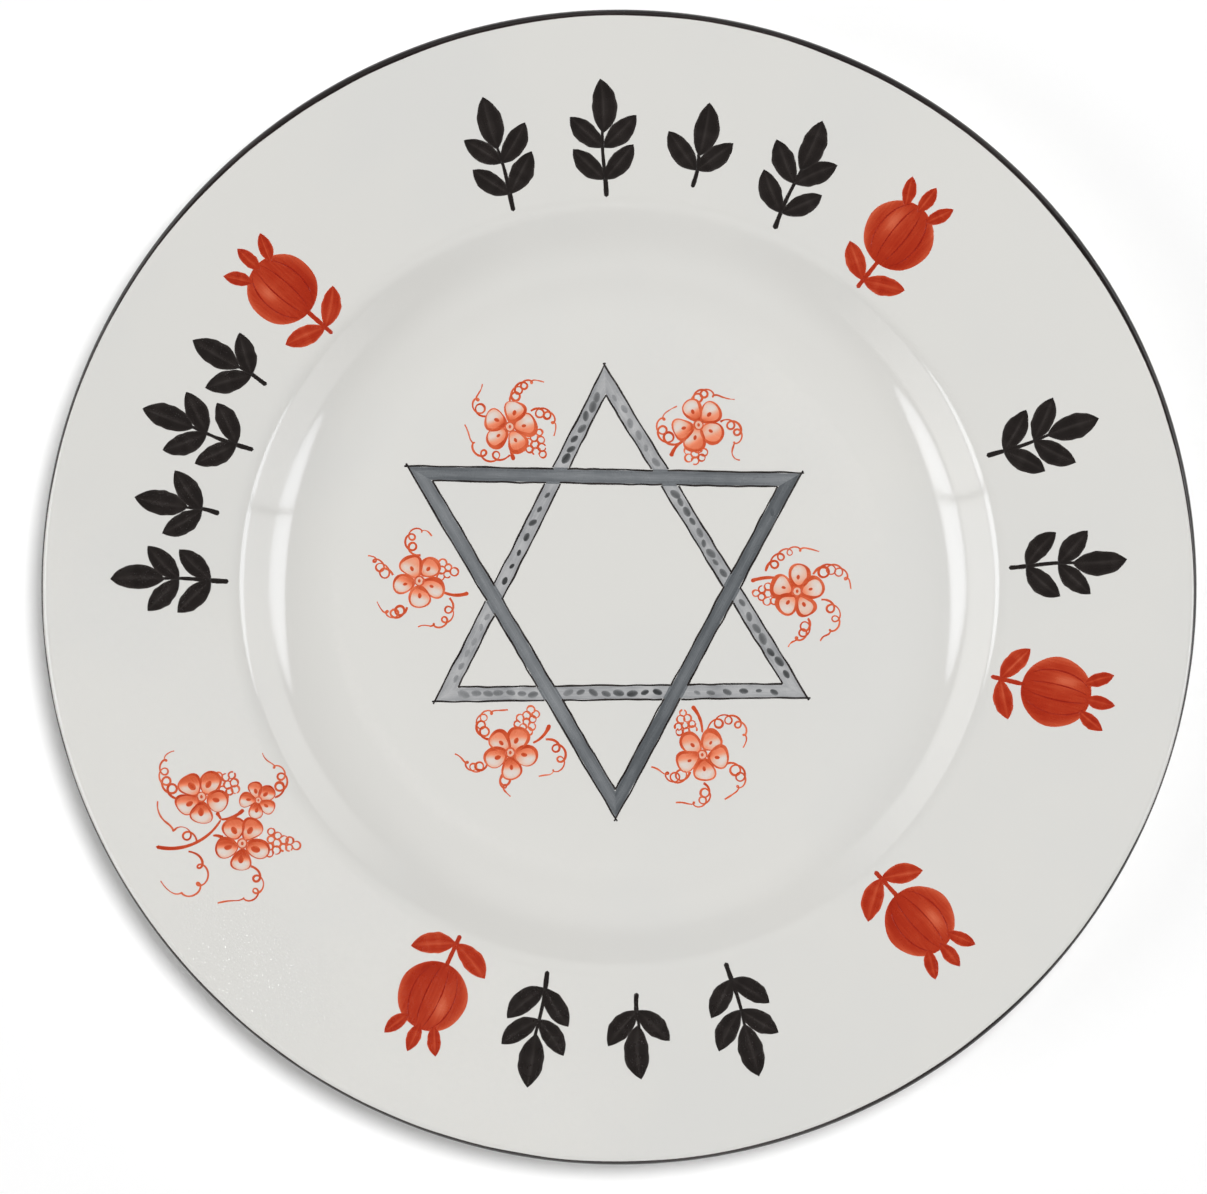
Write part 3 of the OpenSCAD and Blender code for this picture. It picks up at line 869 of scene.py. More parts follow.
def draw_star_down(fill, outline, paint, down, up):
    """The dark band: three mitred sides with one blot, filled to both edges over the pale band."""
    edge_w, band_w = paint.star_outline_w, paint.star_band
    outer, inner = inset(down, 0.8 * edge_w), inset(down, band_w - 0.8 * edge_w)
    across = 0.84 + 0.42 * np.linspace(-1, 1, 9) ** 2
    points = 90
    for (a, b), (d, c), ends in zip(sides(outer), sides(inner), BAND_LOADS):
        along = (np.linspace(*ends, points) * fill.waver(points, 0.06))[:, None]
        fill.patch(a, b, c, d, along * across, rise=0.8, points=points)
    blot = (0.1 * (outer + inner)[1] + 0.9 * (outer + inner)[2]) / 2
    fill.blob(blot, 0.9j * MM, 0.55 * MM, 1.9, rise=0.95)
    for w, full in ((0.0, 0.85 * edge_w), (band_w, band_w - 0.85 * edge_w)):
        for (p, q), (s, t) in zip(sides(inset(down, w)), sides(inset(down, full))):
            near = stretches(p, q, up, edge_w, band_w - edge_w)
            far = stretches(s, t, up, edge_w, band_w - edge_w)
            for i in (0, 1):
                corners = near[i][1], near[i + 1][0], far[i + 1][0], far[i][1]
                fill.patch(*corners, load=1.1, rise=0.8, points=12, across=4)
    draw_outlines(outline, paint, down, up, edge_w, band_w - edge_w)


def draw_star_up(fill, outline, dabs, paint, down, up):
    """The pale band in three stretches on each side, with its outlines and a row of dabs."""
    edge_w, band_w = paint.star_outline_w, paint.star_band
    outer, inner = inset(up, 0.8 * edge_w), inset(up, band_w - 0.8 * edge_w)
    across = 0.8 + 0.5 * np.linspace(-1, 1, 9) ** 2
    points = 50
    for (a, b), (d, c) in zip(sides(outer), sides(inner)):
        edges = stretches(a, b, down, 0, band_w), stretches(d, c, down, 0, band_w)
        for (p, q), (s, t) in zip(*edges):
            load = fill.waver(points, 0.14)[:, None] * across
            fill.patch(p, q, t, s, load, rise=0.5, points=points)
    draw_outlines(outline, paint, up, down, 0, band_w)
    v = np.linspace(-1, 1, 13)
    soft = (1 - 0.95 * abs(v[:, None]) ** 3) * (1 - 0.95 * abs(v) ** 2.5)
    gap = 0.55 * band_w + 0.4 * paint.dab_d
    middle, no_width = inset(down, band_w / 2), 1e-9
    for (p, q), runs in zip(sides(inset(up, band_w / 2)), DABS):
        along = (q - p) / abs(q - p)
        parts = stretches(p, q, middle, -no_width, no_width)
        for (start, end), (count, size, *loads) in zip(parts, runs):
            start, end = start + along * gap, end - along * gap
            for share, load in zip((np.arange(count) + 0.5) / count, np.linspace(*loads, count)):
                half = size * paint.dab_d / 2 * dabs.random.uniform(0.75, 1.2)
                turn = cis(dabs.random.uniform(-35, 25))
                jitter = 0.2 * paint.dab_d * complex(*dabs.random.uniform(-1, 1, 2))
                lean = 1 + dabs.random.uniform(-0.3, 0.3) * v[:, None]
                lean = lean + dabs.random.uniform(-0.3, 0.3) * v
                at = start + (end - start) * share + jitter
                load = load * dabs.random.uniform(0.85, 1.25) * soft * lean
                dabs.blob(at, along * turn * half * 1.3, half * 0.85, load, rise=0.9, across=v.size)


def draw_petal(enamel, r, turn, shade, dense):
    """A broad petal: a wash shaded to one side, an uneven outline and a soft dot.

    Along its axis y = -a cos(p), and it is b sin(p) (1 - 0.3 cos(p)) wide on each side. Where no
    side is given, a random one is shaded faintly, and the outline is heavy all round.
    """
    a = r * 0.425 * enamel.random.uniform(0.88, 1.06)
    b = r * 0.36 * enamel.random.uniform(0.9, 1.1)
    weighed = 0.5 if shade else 0.85
    shade = shade or 0.4 * cis(enamel.random.uniform(0, 360))
    centre = r - a
    p = np.linspace(0.04, math.pi - 0.04, 23)
    half = b * np.sin(p) * (1 - 0.3 * np.cos(p))
    y, v = -a * np.cos(p)[:, None], np.linspace(-1, 1, 15)
    x = half[:, None] * v
    around = (x / b) ** 2 + (y / a) ** 2
    toward = (x * shade.real + y * shade.imag) / a
    shaded = np.clip(0.3 + 1.3 * toward, 0, 1)
    shaded = shaded**2 * (3 - 2 * shaded)
    eye = (0.5 - 0.5 * y / a) ** 3
    strength = (0.33 + 0.45 * dense) * (1.9 - 1.8 * weighed) * enamel.random.uniform(0.7, 1.25)
    wash = 0.03 + strength * shaded + 0.4 * eye + 0.15 * around**3
    enamel.stroke(turn * 1j * (centre + y[:, 0]), half, wash, rise=0.45, across=v.size)
    points = 60
    q = np.linspace(0, TAU * 1.02, points)
    first, second = enamel.random.uniform(0, TAU, 2)
    lobes = 1 + 0.04 * np.sin(2 * q + first) + 0.045 * np.sin(3 * q + second)
    rim = lobes * (b * np.sin(q) * (1 - 0.3 * np.cos(q)) - 1j * a * np.cos(q)) + 1j * centre
    weight = weighed + 0.5 * (np.sin(q) * shade.real - np.cos(q) * shade.imag)
    load = (0.7 + 0.25 * dense + 0.2 * weight) * enamel.waver(points, 0.1, 4)
    line = r * (1.1 - 0.4 * dense) * (0.026 + 0.042 * weight) * enamel.waver(points, 0.2, 4)
    enamel.stroke(turn * rim, line, load, rise=0.75, across=5)
    dot = r * (0.065 + 0.075 * dense) * enamel.random.uniform(0.85, 1.15)
    at = turn * (1j * (centre - 0.12 * a) + 0.1 * b * enamel.random.uniform(-1, 1))
    soft = 0.55 + 0.55 * (1 - np.linspace(-1, 1, 9)[None] ** 2)
    enamel.blob(at, turn * 1j * dot * 1.25, dot, soft, rise=0.7)


def draw_flower(enamel, at, r, turn, shade, dense):
    """Five petals round a small ringed eye, the first one in the direction of turn."""
    outer = enamel.place
    enamel.place = lambda plan: outer(at + plan)
    for k in range(5):
        spin = cis(turn - 90 + 72 * k + enamel.random.uniform(-6, 6))
        draw_petal(enamel, r, spin, 0j if shade is None else cis(shade) / spin, dense)
    enamel.blob(0, 1j * 0.17 * r, 0.17 * r, 0.18, rise=0.85)
    enamel.ring(0, 0.17 * r, 0.035 * r, 0.85, rise=1.0)
    enamel.blob(0, 1j * 0.07 * r, 0.07 * r, 0.95, rise=1.0)
    enamel.place = outer


def draw_tendril(enamel, paint, bend_r, sweep, curls, tail_r, tail_sweep, turn):
    """A curling tendril from 0 in the direction of turn, thinning towards its tip."""
    curl_r = paint.curl_r * enamel.random.uniform(0.85, 1.1)
    path = bent(looped(bend_r, abs(sweep), curls, curl_r, tail_r, tail_sweep), sweep)
    t = np.linspace(0, 1, len(path))
    half = paint.tendril_w / 2 * (1.02 - 0.4 * t) * enamel.waver(len(path), 0.14, 9)
    load = (0.96 - 0.22 * t) * enamel.waver(len(path), 0.09, 7)
    enamel.stroke(turn * path, half, load, rise=0.3, across=5)


def draw_bunch(enamel, paint, rows, turn):
    """A tapering bunch of berries from 0 in the direction of turn: open rings of a fine brush."""
    pitch, points = 1.7 * paint.berry_r, 30
    for row, count in enumerate(rows):
        for k in range(count):
            jitter = 0.14 * paint.berry_r * complex(*enamel.random.uniform(-1, 1, 2))
            at = turn * ((k - (count - 1) / 2) * pitch + 0.87j * row * pitch + jitter)
            r = paint.berry_r * enamel.random.uniform(0.74, 0.95)
            start = enamel.random.uniform(0, 360)
            path = at + r * cis(start + np.linspace(0, enamel.random.uniform(290, 390), points))
            half = paint.berry_r * 0.2 * enamel.waver(points, 0.2, 3)
            load = enamel.random.uniform(0.65, 1)
            enamel.stroke(path, blunt(path, half), load, rise=0.3, across=5)


def draw_stem(enamel, paint, bend_r, sweep, turn, dense):
    """A brushed stem from 0 in the direction of turn, swelling towards its blunt far end."""
    path = bent(arc(bend_r, abs(sweep)), sweep)
    t = np.linspace(0, 1, len(path))
    half = paint.stem_w / 2 * (0.45 + 0.5 * t) * enamel.waver(len(path), 0.05)
    load = (0.85 + 0.15 * dense + 0.25 * t) * enamel.waver(len(path), 0.04)
    enamel.stroke(turn * path, blunt(path, half), load, rise=0.35)


def draw_spray(enamel, paint, spray):
    """All the parts of a spray, each drawn along +Y and turned to its heading, flowers last."""
    r = paint.flower_d / 2
    outer = enamel.place
    stem_dense = spray.flowers[0][-1]

    def moved_to(place):
        enamel.place = lambda plan: outer(r * place + plan)

    for place, heading, bend, sweep in spray.stems:
        moved_to(place)
        draw_stem(enamel, paint, bend * r, sweep, cis(heading - 90), stem_dense)
    for place, heading, rows in spray.bunches:
        moved_to(place)
        draw_bunch(enamel, paint, rows, cis(heading - 90))
    for place, heading, bend, sweep, curls, tail_bend, tail_sweep in spray.tendrils:
        moved_to(place)
        turn = cis(heading - 90)
        draw_tendril(enamel, paint, bend * r, sweep, curls, tail_bend * r, tail_sweep, turn)
    enamel.place = outer
    for place, size, turn, shade, dense in spray.flowers:
        draw_flower(enamel, r * place, size * r, turn, shade, dense)


def draw_leaf(enamel, leaf_l, leaf_w, at=0, turn=1, flip=False, load=1.0):
    """A leaf along +Y between two arcs that meet at its tips, a little fuller on its right.

    An arc of bulge b over length l has radius (l^2 / 4 + b^2) / (2 b).
    """
    points = 46
    t = np.linspace(0, 1, points)
    bulge = leaf_w / 2
    arc_r = (leaf_l**2 / 4 + bulge**2) / (2 * bulge)
    half = np.sqrt(np.maximum(arc_r**2 - (leaf_l * (t - 0.5)) ** 2, 0)) - arc_r + bulge
    sway = 0.035 * leaf_l * np.sin(math.pi * t) * enamel.random.uniform(-1, 1)
    tip = 0.05 * leaf_w * t**3 * enamel.random.uniform(-1, 1)
    path = bent(1j * leaf_l * t + sway + tip, -1 if flip else 1)
    v = np.linspace(-1, 1, 11)
    vein = 0.3 * np.exp(-((v - 0.05) / 0.13) ** 2) * np.sin(math.pi * t[:, None]) ** 0.6
    weight = load * enamel.waver(points, 0.03)[:, None] * (1 - vein)
    half = half * enamel.waver(points, 0.025)
    enamel.stroke(at + turn * path, half, weight, lean=-0.1 if flip else 0.1, across=v.size)


def draw_leaf_pair(enamel, paint, at, spread, size):
    """Two leaves from one place on a twig, spread to its right and then to its left."""
    for flip in (False, True):
        lean = -spread * enamel.random.uniform(0.93, 1.07)
        share = size * enamel.random.uniform(0.95, 1.05)
        turn = cis(-lean if flip else lean)
        draw_leaf(enamel, share * paint.leaf_l, share * paint.leaf_w, at, turn, flip)


def draw_sprig(enamel, paint, pairs):
    """A twig with leaf pairs and a leaf at its top, centred on its own length."""
    twig_l = paint.leaf_pitch * pairs
    foot = -0.5j * (twig_l + paint.leaf_l)
    points = 50
    path = straight(0, 1j * (twig_l + paint.stem_w), points)
    t = np.linspace(0, 1, points)
    path = path + 0.25 * MM * np.sin(TAU * 0.7 * t + enamel.random.uniform(0, TAU))
    half = paint.stem_w / 2 * (1.1 - 0.45 * t) * enamel.waver(points, 0.06)
    enamel.stroke(foot + path, blunt(path, half), 1.0, rise=0.85)
    draw_leaf(enamel, paint.leaf_l, paint.leaf_w, foot + 1j * twig_l)
    for k in range(1, pairs + 1):
        at = foot + 1j * (k - 0.45) * paint.leaf_pitch
        draw_leaf_pair(enamel, paint, at, spread=44, size=0.85)


def draw_pomegranate(enamel, paint):
    """A round fruit with ribs and a soft light, a three-pointed crown, and leaves on its stalk."""
    r = paint.fruit_d / 2
    crown_l, stalk_l = 0.84 * r, 0.9 * r
    points = 30
    path = straight(-1j * (r + stalk_l), -1j * (r - 1 * MM), points)
    enamel.stroke(path, blunt(path, paint.stem_w / 2 * enamel.waver(points, 0.06)), 1.0, rise=0.8)
    draw_leaf_pair(enamel, paint, -1j * (r + 0.7 * stalk_l), spread=62, size=0.8)
    for tilt in (-28, 28, 0):
        turn = cis(tilt * enamel.random.uniform(0.92, 1.08))
        draw_leaf(enamel, crown_l * 1.05, 0.47 * crown_l, turn * 0.83j * r, turn, load=1.05)
    p = np.linspace(0.03, math.pi - 0.03, 61)
    y, v = -r * np.cos(p), np.linspace(-1, 1, 25)
    half = r * np.sin(p) * (1 + 0.012 * np.cos(5 * p + enamel.random.uniform(0, TAU)))
    x = half[:, None] * v
    aside, ahead = (x + 0.36 * r) / (0.2 * r), (y[:, None] - 0.22 * r) / (0.42 * r)
    light = np.exp(-(aside**2 + ahead**2))
    load = 0.97 - 0.36 * light + 0.1 * np.clip((x - y[:, None]) / r, 0, 1.4) ** 2
    enamel.stroke(1j * y, half, load, rise=0.8, across=v.size)
    points = 40
    q = np.linspace(0.16 * math.pi, 0.88 * math.pi, points)
    taper = 0.24 * MM * np.sin(np.linspace(0.12, math.pi - 0.05, points))
    for rib in (-0.62, -0.22, 0.22, 0.62):
        path = r * (rib * np.sin(q) - 1j * np.cos(q))
        half = taper * enamel.waver(points, 0.15)
        enamel.stroke(path, half, 1.3 - 0.1 * abs(rib), rise=0.95, across=5)


# Operators


class PLATE_OT_body(bpy.types.Operator):
    """Turn the porcelain body, which shows bare at the tip of the foot ring"""

    bl_idname = "plate.body"
    bl_label = "Porcelain body"

    def execute(self, context):
        sizes, _, colours, _ = settings()
        plate = Plate(sizes)
        points, faces = turned(plate, plate.path(0), BODY_STEPS)
        material = biscuit_finish(colours)
        add_piece("turned_body", points, faces, material, "porcelain_body")
        return {"FINISHED"}


class PLATE_OT_glaze(bpy.types.Operator):
    """Coat the face and the base with glaze, down to the bare strip of the foot ring"""

    bl_idname = "plate.glaze"
    bl_label = "Glaze"

    def execute(self, context):
        sizes, _, colours, _ = settings()
        plate = Plate(sizes)
        material = glaze_finish(colours)
        coats = (("glazed_face", "face_glaze"), ("glazed_base", "base_glaze"))
        for part, (name, node) in enumerate(coats):
            # A coat's section runs along the glaze and along the body, from axis to axis
            outside, inside = plate.parted(sizes.glaze_t)[part], plate.parted(0)[part]
            loop = (outside, inside[::-1]) if part == 0 else (inside[::-1], outside)
            points, faces = turned(plate, np.vstack(loop), GLAZE_STEPS)
            add_piece(name, points, faces, material, node)
        return {"FINISHED"}


class PLATE_OT_rim_line(bpy.types.Operator):
    """Draw the dark line over the lip, wider in some places than in others"""

    bl_idname = "plate.rim_line"
    bl_label = "Rim line"

    def execute(self, context):
        sizes, paint, colours, _ = settings()
        plate = Plate(sizes)
        # The glaze's section as far as the middle of the lip's outside, and the length s along it
        path = close_up(plate.path(sizes.glaze_t), 0.1 * MM)
        outermost = int(np.argmax(path[:, 0]))
        below = path[:, 1] < plate.rim[1] - 0.5 * sizes.lip_t
        last = np.flatnonzero(below & (path[:, 0] > plate.rim[0]))[0]
        path = path[:last + 1]
        normal = left_of(unit(np.gradient(path, axis=0)))
        s = np.concatenate([[0], np.cumsum(np.linalg.norm(np.diff(path, axis=0), axis=1))])

        # The unsteady hand: k waves round the plate, each 1 / k^0.8 high and of random phase
        angle = np.linspace(0, TAU, LINE_STEPS, endpoint=False)
        random = np.random.default_rng(SEEDS["rim_line"])
        k = np.arange(5, 60)
        hand = (np.cos(k * angle[:, None] + random.uniform(0, TAU, k.size)) / k**0.8).sum(1)
        # At angle a the line is w (1 + sum of share cos(count a - phase) + 0.1 hand) wide
        waves = 1
        for count, (share, phase) in enumerate(RIM_WAVES, 1):
            waves = waves + share * np.cos(count * angle - phase)
        width = paint.rim_line_w * np.clip(waves + 0.1 * hand, 0.24, None)
        start = np.interp(path[outermost, 0] - width, path[:outermost + 1, 0], s[:outermost + 1])

        # The line is a slab on that section, from start to the end of s at each angle
        v = np.linspace(0, 1, 13)
        at = start[:, None] + (s[-1] - start[:, None]) * v
        r, z, out, up = (np.interp(at, s, f) for f in (*path.T, *normal.T))
        turn = np.exp(1j * angle)[:, None]
        rise = paint.enamel_t * (0.9 - 0.55 * abs(2 * v - 1) ** 4)
        halves = []
        for lift in (rise, -SUNK * paint.enamel_t):
            plan = (r + lift * out) * turn
            height = z + lift * up + plate.uneven(plan)
            halves.append(np.stack([plan.real, plan.imag, height], -1).reshape(-1, 3))
        load = 1 + 0.08 * hand[:, None] - 0.25 * np.clip(1 - 6 * v, 0, 1)
        edge = np.broadcast_to(np.clip(1 - 4 * v, 0, 1), at.shape)
        around = np.column_stack([np.repeat(angle * plate.rim[0] / MM, v.size), at.ravel() / MM])
        add_painted(
            "painted_rim_line", np.vstack(halves), slab_faces(angle.size, v.size, wrapped=True),
            np.tile(load.ravel(), 2), np.tile(edge.ravel(), 2), np.tile(around, (2, 1)),
            enamel_finish("brown enamel", colours, "brown", 0.12, 0.1, gloss=0.06),
            "rim_line",
        )
        return {"FINISHED"}


class PLATE_OT_star(bpy.types.Operator):
    """Paint the star: a dark triangle over a pale one, both outlined, with dabs on the pale one"""

    bl_idname = "plate.star"
    bl_label = "Star"

    def execute(self, context):
        sizes, paint, colours, _ = settings()
        plate = Plate(sizes)
        slate = enamel_finish("slate enamel", colours, "slate", 0.34, 0.12)
        pale = enamel_finish("pale grey enamel", colours, "pale", 0.5, 0.2)
        dab = enamel_finish("dab enamel", colours, "dab", 0.2, 0.3, ground="pale")
        black = enamel_finish("outline enamel", colours, "black", 0.1, 0.12)
        down, up = paint.star_r * STAR_DOWN, paint.star_r * STAR_UP
        down_fill, down_edges, up_fill, up_edges, dabs = (
            Enamel(plate, paint, SEEDS["star"] + i) for i in range(5)
        )
        draw_star_down(down_fill, down_edges, paint, down, up)
        draw_star_up(up_fill, up_edges, dabs, paint, down, up)
        down_fill.piece("painted_star_down", slate, "star_down_fill", "slate_enamel")
        down_edges.piece("painted_star_down_edges", black, "star_down_outline", "black_enamel")
        up_fill.piece("painted_star_up", pale, "star_up_fill", "grey_enamel")
        up_edges.piece("painted_star_up_edges", black, "star_up_outline", "black_enamel")
        dabs.piece("painted_dabs", dab, "star_dabs", "slate_enamel")
        return {"FINISHED"}


class PLATE_OT_sprays(bpy.types.Operator):
    """Paint the six flower sprays of the well and the larger one on the flange"""

    bl_idname = "plate.sprays"
    bl_label = "Flower sprays"

    def execute(self, context):
        sizes, paint, colours, _ = settings()
        plate = Plate(sizes)
        red = enamel_finish("orange enamel", colours, "orange", 0.14, 0.16)

        def at(middle, seed):
            return Enamel(plate, paint, seed, lambda plan: middle + plan)

        for i, (middle, spray) in enumerate(zip(paint.star_r * FLOWERS, WELL_SPRAYS)):
            enamel = at(middle, SEEDS["sprays"] + i)
            draw_spray(enamel, paint, spray)
            enamel.piece(f"painted_spray_{i + 1}", red, f"flower_spray_{i + 1}", "red_enamel")
        out = plate.shoulder[0] + paint.border_in + paint.rim_spray_out
        enamel = at(out * cis(RIM_SPRAY), SEEDS["rim_spray"])
        draw_spray(enamel, paint, RIM_PARTS)
        enamel.piece("painted_rim_spray", red, "rim_spray", "red_enamel")
        return {"FINISHED"}


class PLATE_OT_border(bpy.types.Operator):
    """Paint the border of the flange: red pomegranates and black leaf sprigs"""

    bl_idname = "plate.border"
    bl_label = "Border"

    def execute(self, context):
        sizes, paint, colours, _ = settings()
        plate = Plate(sizes)
        red = enamel_finish("red enamel", colours, "red", 0.2, 0.1)
        black = enamel_finish("black enamel", colours, "black", 0.12, 0.08)
        out = plate.shoulder[0] + paint.border_in

        def at(angle, seed):
            return Enamel(plate, paint, seed, lambda plan: (1j * out + plan) * cis(angle - 90))

        for i, angle in enumerate(POMEGRANATES):
            enamel = at(angle, SEEDS["pomegranates"] + i)
            draw_pomegranate(enamel, paint)
            enamel.piece(f"painted_pomegranate_{i + 1}", red, f"pomegranate_{i + 1}", "red_enamel")
        for i, (angle, pairs) in enumerate(SPRIGS):
            enamel = at(angle, SEEDS["sprigs"] + i)
            draw_sprig(enamel, paint, pairs)
            enamel.piece(f"painted_sprig_{i + 1}", black, f"leaf_sprig_{i + 1}", "black_enamel")
        return {"FINISHED"}


# Stage


def add_soft_light(name, radiance, azimuth, elevation, distance, width, height, mirrored=False):
    """An oval soft box that faces the plate from that direction, in degrees, at that radiance.

    A mirrored one only shows in the glaze, a little cool, and any other one only gives light.
    """
    lamp = bpy.data.lights.new(name, "AREA")
    lamp.color = BANK_COLOUR if mirrored else (1, 1, 1)
    lamp.shape, lamp.size, lamp.size_y = "ELLIPSE", width, height
    lamp.energy = math.pi * (math.pi / 4 * width * height) * radiance
    light = bpy.data.objects.new(name, lamp)
    a, e = math.radians(azimuth), math.radians(elevation)
    flat = distance * math.cos(e)
    light.location = (flat * math.cos(a), flat * math.sin(a), distance * math.sin(e))
    light.rotation_euler = (math.pi / 2 - e, 0, math.pi / 2 + a)
    light.visible_camera = False
    light.visible_glossy, light.visible_diffuse = mirrored, not mirrored
    bpy.context.scene.collection.objects.link(light)
    return light


def add_lamp(name, share, azimuth, elevation, distance, size):
    """A round soft light that gives the floor that share of its light.

    A disc of diameter s and radiance L at distance d and elevation e gives L s^2 sin(e) / (4 d^2).
    """
    radiance = share * 4 * distance**2 / (size**2 * math.sin(math.radians(elevation)))
    add_soft_light(name, radiance, azimuth, elevation, distance, size, size)


def rectangle(x, y):
    """Corners of a rectangle round 0, from half its width and half its height."""
    return (-x, -y), (x, -y), (x, y), (-x, y)


def add_sheet(name, corners, material):
    """A flat sheet of the stage between four corners."""
    mesh = bpy.data.meshes.new(name)
    mesh.from_pydata(corners, [], [(0, 1, 2, 3)])
    mesh.materials.append(material)
    sheet = bpy.data.objects.new(name, mesh)
    bpy.context.scene.collection.objects.link(sheet)
    return sheet


def add_bank(name, radiance, azimuth, spread, seam, elevation, rise, distance=3.0):
    """A wide soft box to one side, with the dark seam that shows across it in the glaze.

    Its outline spans the spread in azimuth and twice the rise in elevation, all in degrees. It is
    three ovals inside each other, so that it fades towards its edge.
    """
    flat = distance * math.cos(math.radians(elevation))
    width = 2 * flat * math.tan(math.radians(spread / 2))
    height = 2 * distance * math.tan(math.radians(rise))
    for part, share in BANK_OVALS:
        light = add_soft_light(
            name, share * radiance, azimuth, elevation, distance + OVAL_BACK * part,
            part * width, part * height, mirrored=True,
        )
    across = light.rotation_euler.to_matrix()
    step = flat * math.tan(math.radians(seam - azimuth))
    corners = [
        light.location + across @ Vector((step + x, y, -SEAM_IN_FRONT))
        for x, y in rectangle(SEAM_HALF_W, height)
    ]
    finish = Finish(name + " seam")
    finish.put(finish.shader.inputs["Base Color"], (0.02, 0.02, 0.02, 1))
    strip = add_sheet(name + " seam", corners, finish.material)
    strip.visible_camera = False


def add_camera(scene, plate, studio):
    """A camera straight over the plate that sees view_w across at the height of the rim."""
    lens = bpy.data.cameras.new("camera")
    lens.sensor_width, lens.sensor_fit = SENSOR_MM, "HORIZONTAL"
    lens.lens = SENSOR_MM * studio.camera_d / studio.view_w
    lens.clip_start, lens.clip_end = 0.05, 60
    camera = bpy.data.objects.new("camera", lens)
    camera.location = (*VIEW_MIDDLE, plate.rim[1] + studio.camera_d)
    scene.collection.objects.link(camera)
    scene.camera = camera


def add_surroundings(scene, studio):
    """White to the camera, an even dome to matt surfaces and a pale room to mirroring ones.

    The room darkens from the horizon to the ceiling. Its walls glow low down at the left and right,
    and more faintly in front and behind.
    """
    scene.world = bpy.data.worlds.new("surroundings")
    tree = NodeTree(scene.world)
    shows, mirrors, passes = tree.rays()
    direction = tree.add("TexCoord", output="Generated")
    right, back, up = (
        tree.add("SeparateXYZ", None, {"Vector": direction}, output=axis) for axis in "XYZ"
    )
    overhead = up.between(0.3, 0.8)
    low = up.between(0.08, 0.2) * (1 - up.between(0.42, 0.46))
    glow = right.between(0.45, 0.92) * studio.right_wall
    glow = glow + (0 - right).between(0.45, 0.92) * studio.left_wall
    ends = (0 - back).between(0, 0.3) + back.between(0, 0.3) * up.between(0.45, 0.6) * 0.6
    aside = right.math("ABSOLUTE", right).between(0.2, 0.6)
    ends = ends * (1 - aside) * (1 - up.between(0.75, 0.92))
    room = studio.horizon - overhead * (studio.horizon - studio.ceiling)
    room = room + low * glow + ends * studio.end_walls
    strength = shows.math("MAXIMUM", shows, passes)
    strength = strength + (1 - strength) * (mirrors * room + (1 - mirrors) * studio.dome)
    background = tree.nodes["Background"]
    tree.put(background.inputs["Strength"], strength)
    tree.put(background.inputs["Color"], (1, 1, 1, 1))


def add_floor(colours, studio):
    """A matt white table, lightened near the plate by the lift and plain white far from it."""
    finish = Finish("white table")
    shows, mirrors, passes = finish.rays()
    seen = shows.math("MAXIMUM", shows.math("MAXIMUM", shows, mirrors), passes)
    distance = finish.add("VectorMath", {"operation": "LENGTH"}, {0: finish.place}, output="Value")
    far = distance.between(0.24, 0.9)
    grain = finish.noise(finish.place, 900.0)
    paper = finish.blend(grain, (*[0.995 * c for c in colours.floor], 1), (*colours.floor, 1))
    finish.surface(paper, 1.0, grain, 0.01 * MM, Specular_IOR_Level=0.0)
    backdrop = finish.add("Emission", None, {"Color": (1, 1, 1, 1), "Strength": seen})
    lit = Value(finish, finish.shader.outputs[0])
    plain = studio.lift + far * (1 - studio.lift)
    whole = finish.add("MixShader", None, {0: plain * seen, 1: lit, 2: backdrop})
    finish.put(finish.nodes["Material Output"].inputs["Surface"], whole)
    corners = [(x, y, 0) for x, y in rectangle(FLOOR_HALF, FLOOR_HALF)]
    add_sheet("floor", corners, finish.material)


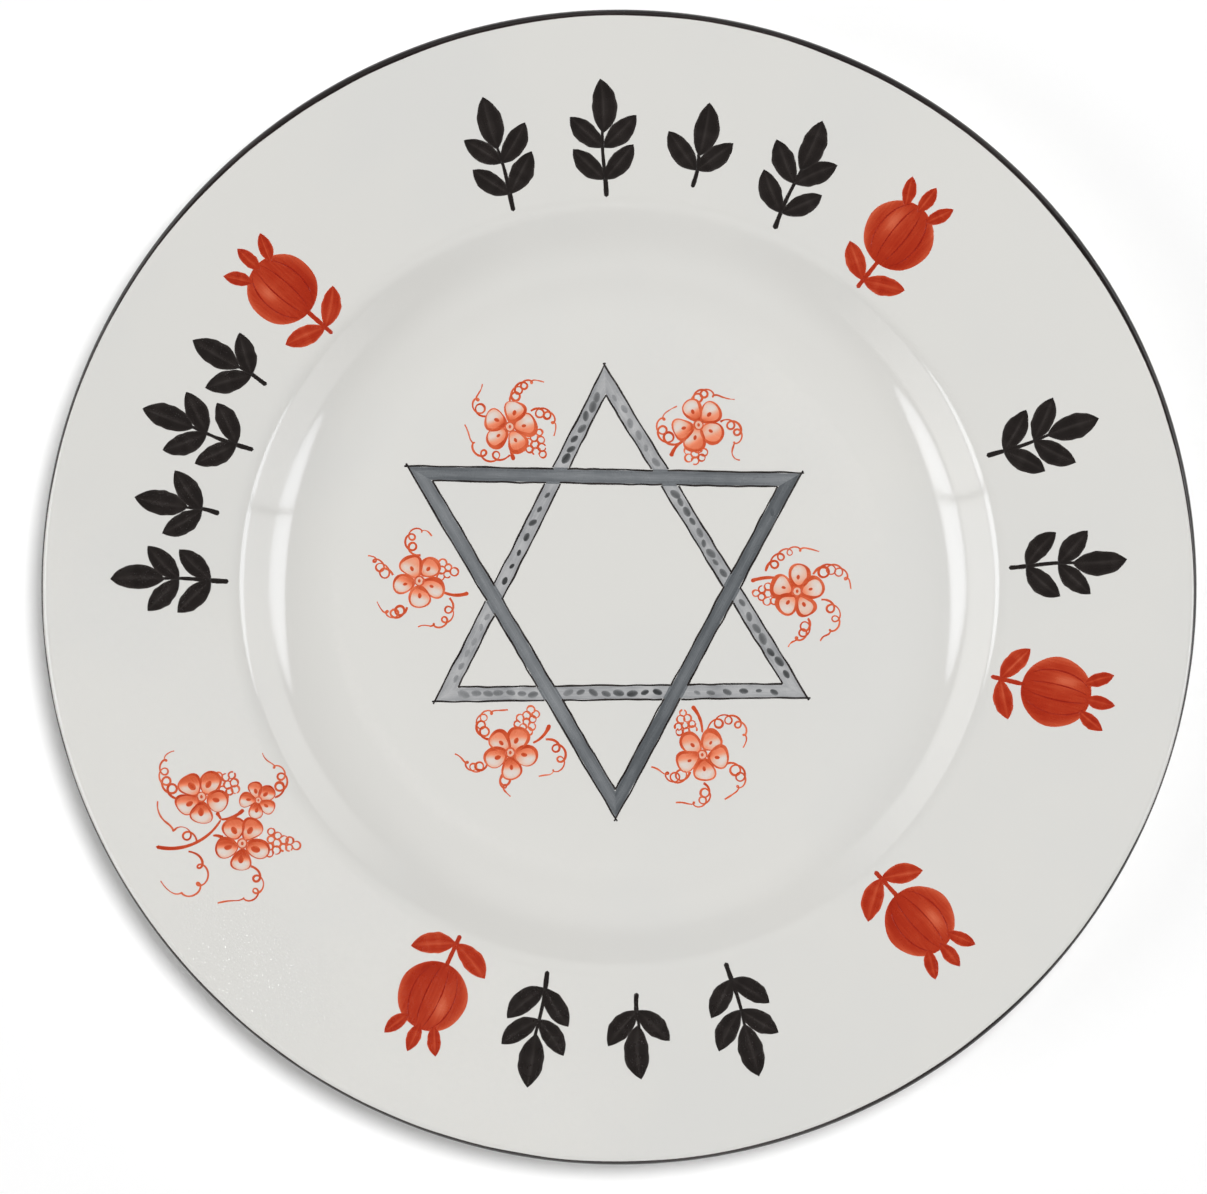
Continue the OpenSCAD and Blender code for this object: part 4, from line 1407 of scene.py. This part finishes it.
class PLATE_OT_studio(bpy.types.Operator):
    """Set the camera straight over the plate, the soft lights, the surroundings and the floor"""

    bl_idname = "plate.studio"
    bl_label = "Studio"

    def execute(self, context):
        sizes, _, colours, studio = settings()
        scene = context.scene
        scene.view_settings.view_transform = "Standard"
        add_camera(scene, Plate(sizes), studio)
        add_lamp("key", studio.key, azimuth=42, elevation=80.6, distance=2.6, size=0.6)
        add_lamp("fill", studio.fill, azimuth=192, elevation=35, distance=3, size=1.6)
        add_bank(
            "left bank", studio.left_bank,
            azimuth=190, spread=52, seam=195, elevation=36.2, rise=8.0,
        )
        add_bank(
            "right bank", studio.right_bank,
            azimuth=-6.5, spread=47, seam=-12.6, elevation=33.3, rise=7.2,
        )
        add_surroundings(scene, studio)
        add_floor(colours, studio)
        return {"FINISHED"}


class PLATE_PT_panel(bpy.types.Panel):
    """Lists the plate's settings and the operators that make it"""

    bl_idname = "PLATE_PT_panel"
    bl_label = "Havdalah plate"
    bl_space_type = "VIEW_3D"
    bl_region_type = "UI"
    bl_category = "Plate"

    def draw(self, context):
        layout = self.layout
        for step in STEPS:
            layout.operator(step.bl_idname)
        for group in GROUPS:
            column = layout.column(align=True)
            column.label(text=GROUPS[group].__doc__)
            values = getattr(context.scene, group)
            for name in GROUPS[group].__annotations__:
                column.prop(values, name)


GROUPS = {
    "plate_sizes": PlateSizes,
    "plate_paint": PaintSizes,
    "plate_colours": PlateColours,
    "plate_studio": StudioLevels,
}
STEPS = (
    PLATE_OT_studio, PLATE_OT_body, PLATE_OT_glaze, PLATE_OT_rim_line,
    PLATE_OT_star, PLATE_OT_sprays, PLATE_OT_border,
)


def register():
    for cls in (*GROUPS.values(), *STEPS, PLATE_PT_panel):
        bpy.utils.register_class(cls)
    for name, group in GROUPS.items():
        setattr(bpy.types.Scene, name, bpy.props.PointerProperty(type=group))


def unregister():
    for name in GROUPS:
        delattr(bpy.types.Scene, name)
    for cls in reversed((*GROUPS.values(), *STEPS, PLATE_PT_panel)):
        bpy.utils.unregister_class(cls)


def main():
    register()
    bpy.ops.plate.studio()
    bpy.ops.plate.body()
    bpy.ops.plate.glaze()
    bpy.ops.plate.rim_line()
    bpy.ops.plate.star()
    bpy.ops.plate.sprays()
    bpy.ops.plate.border()


if __name__ == "__main__":
    main()
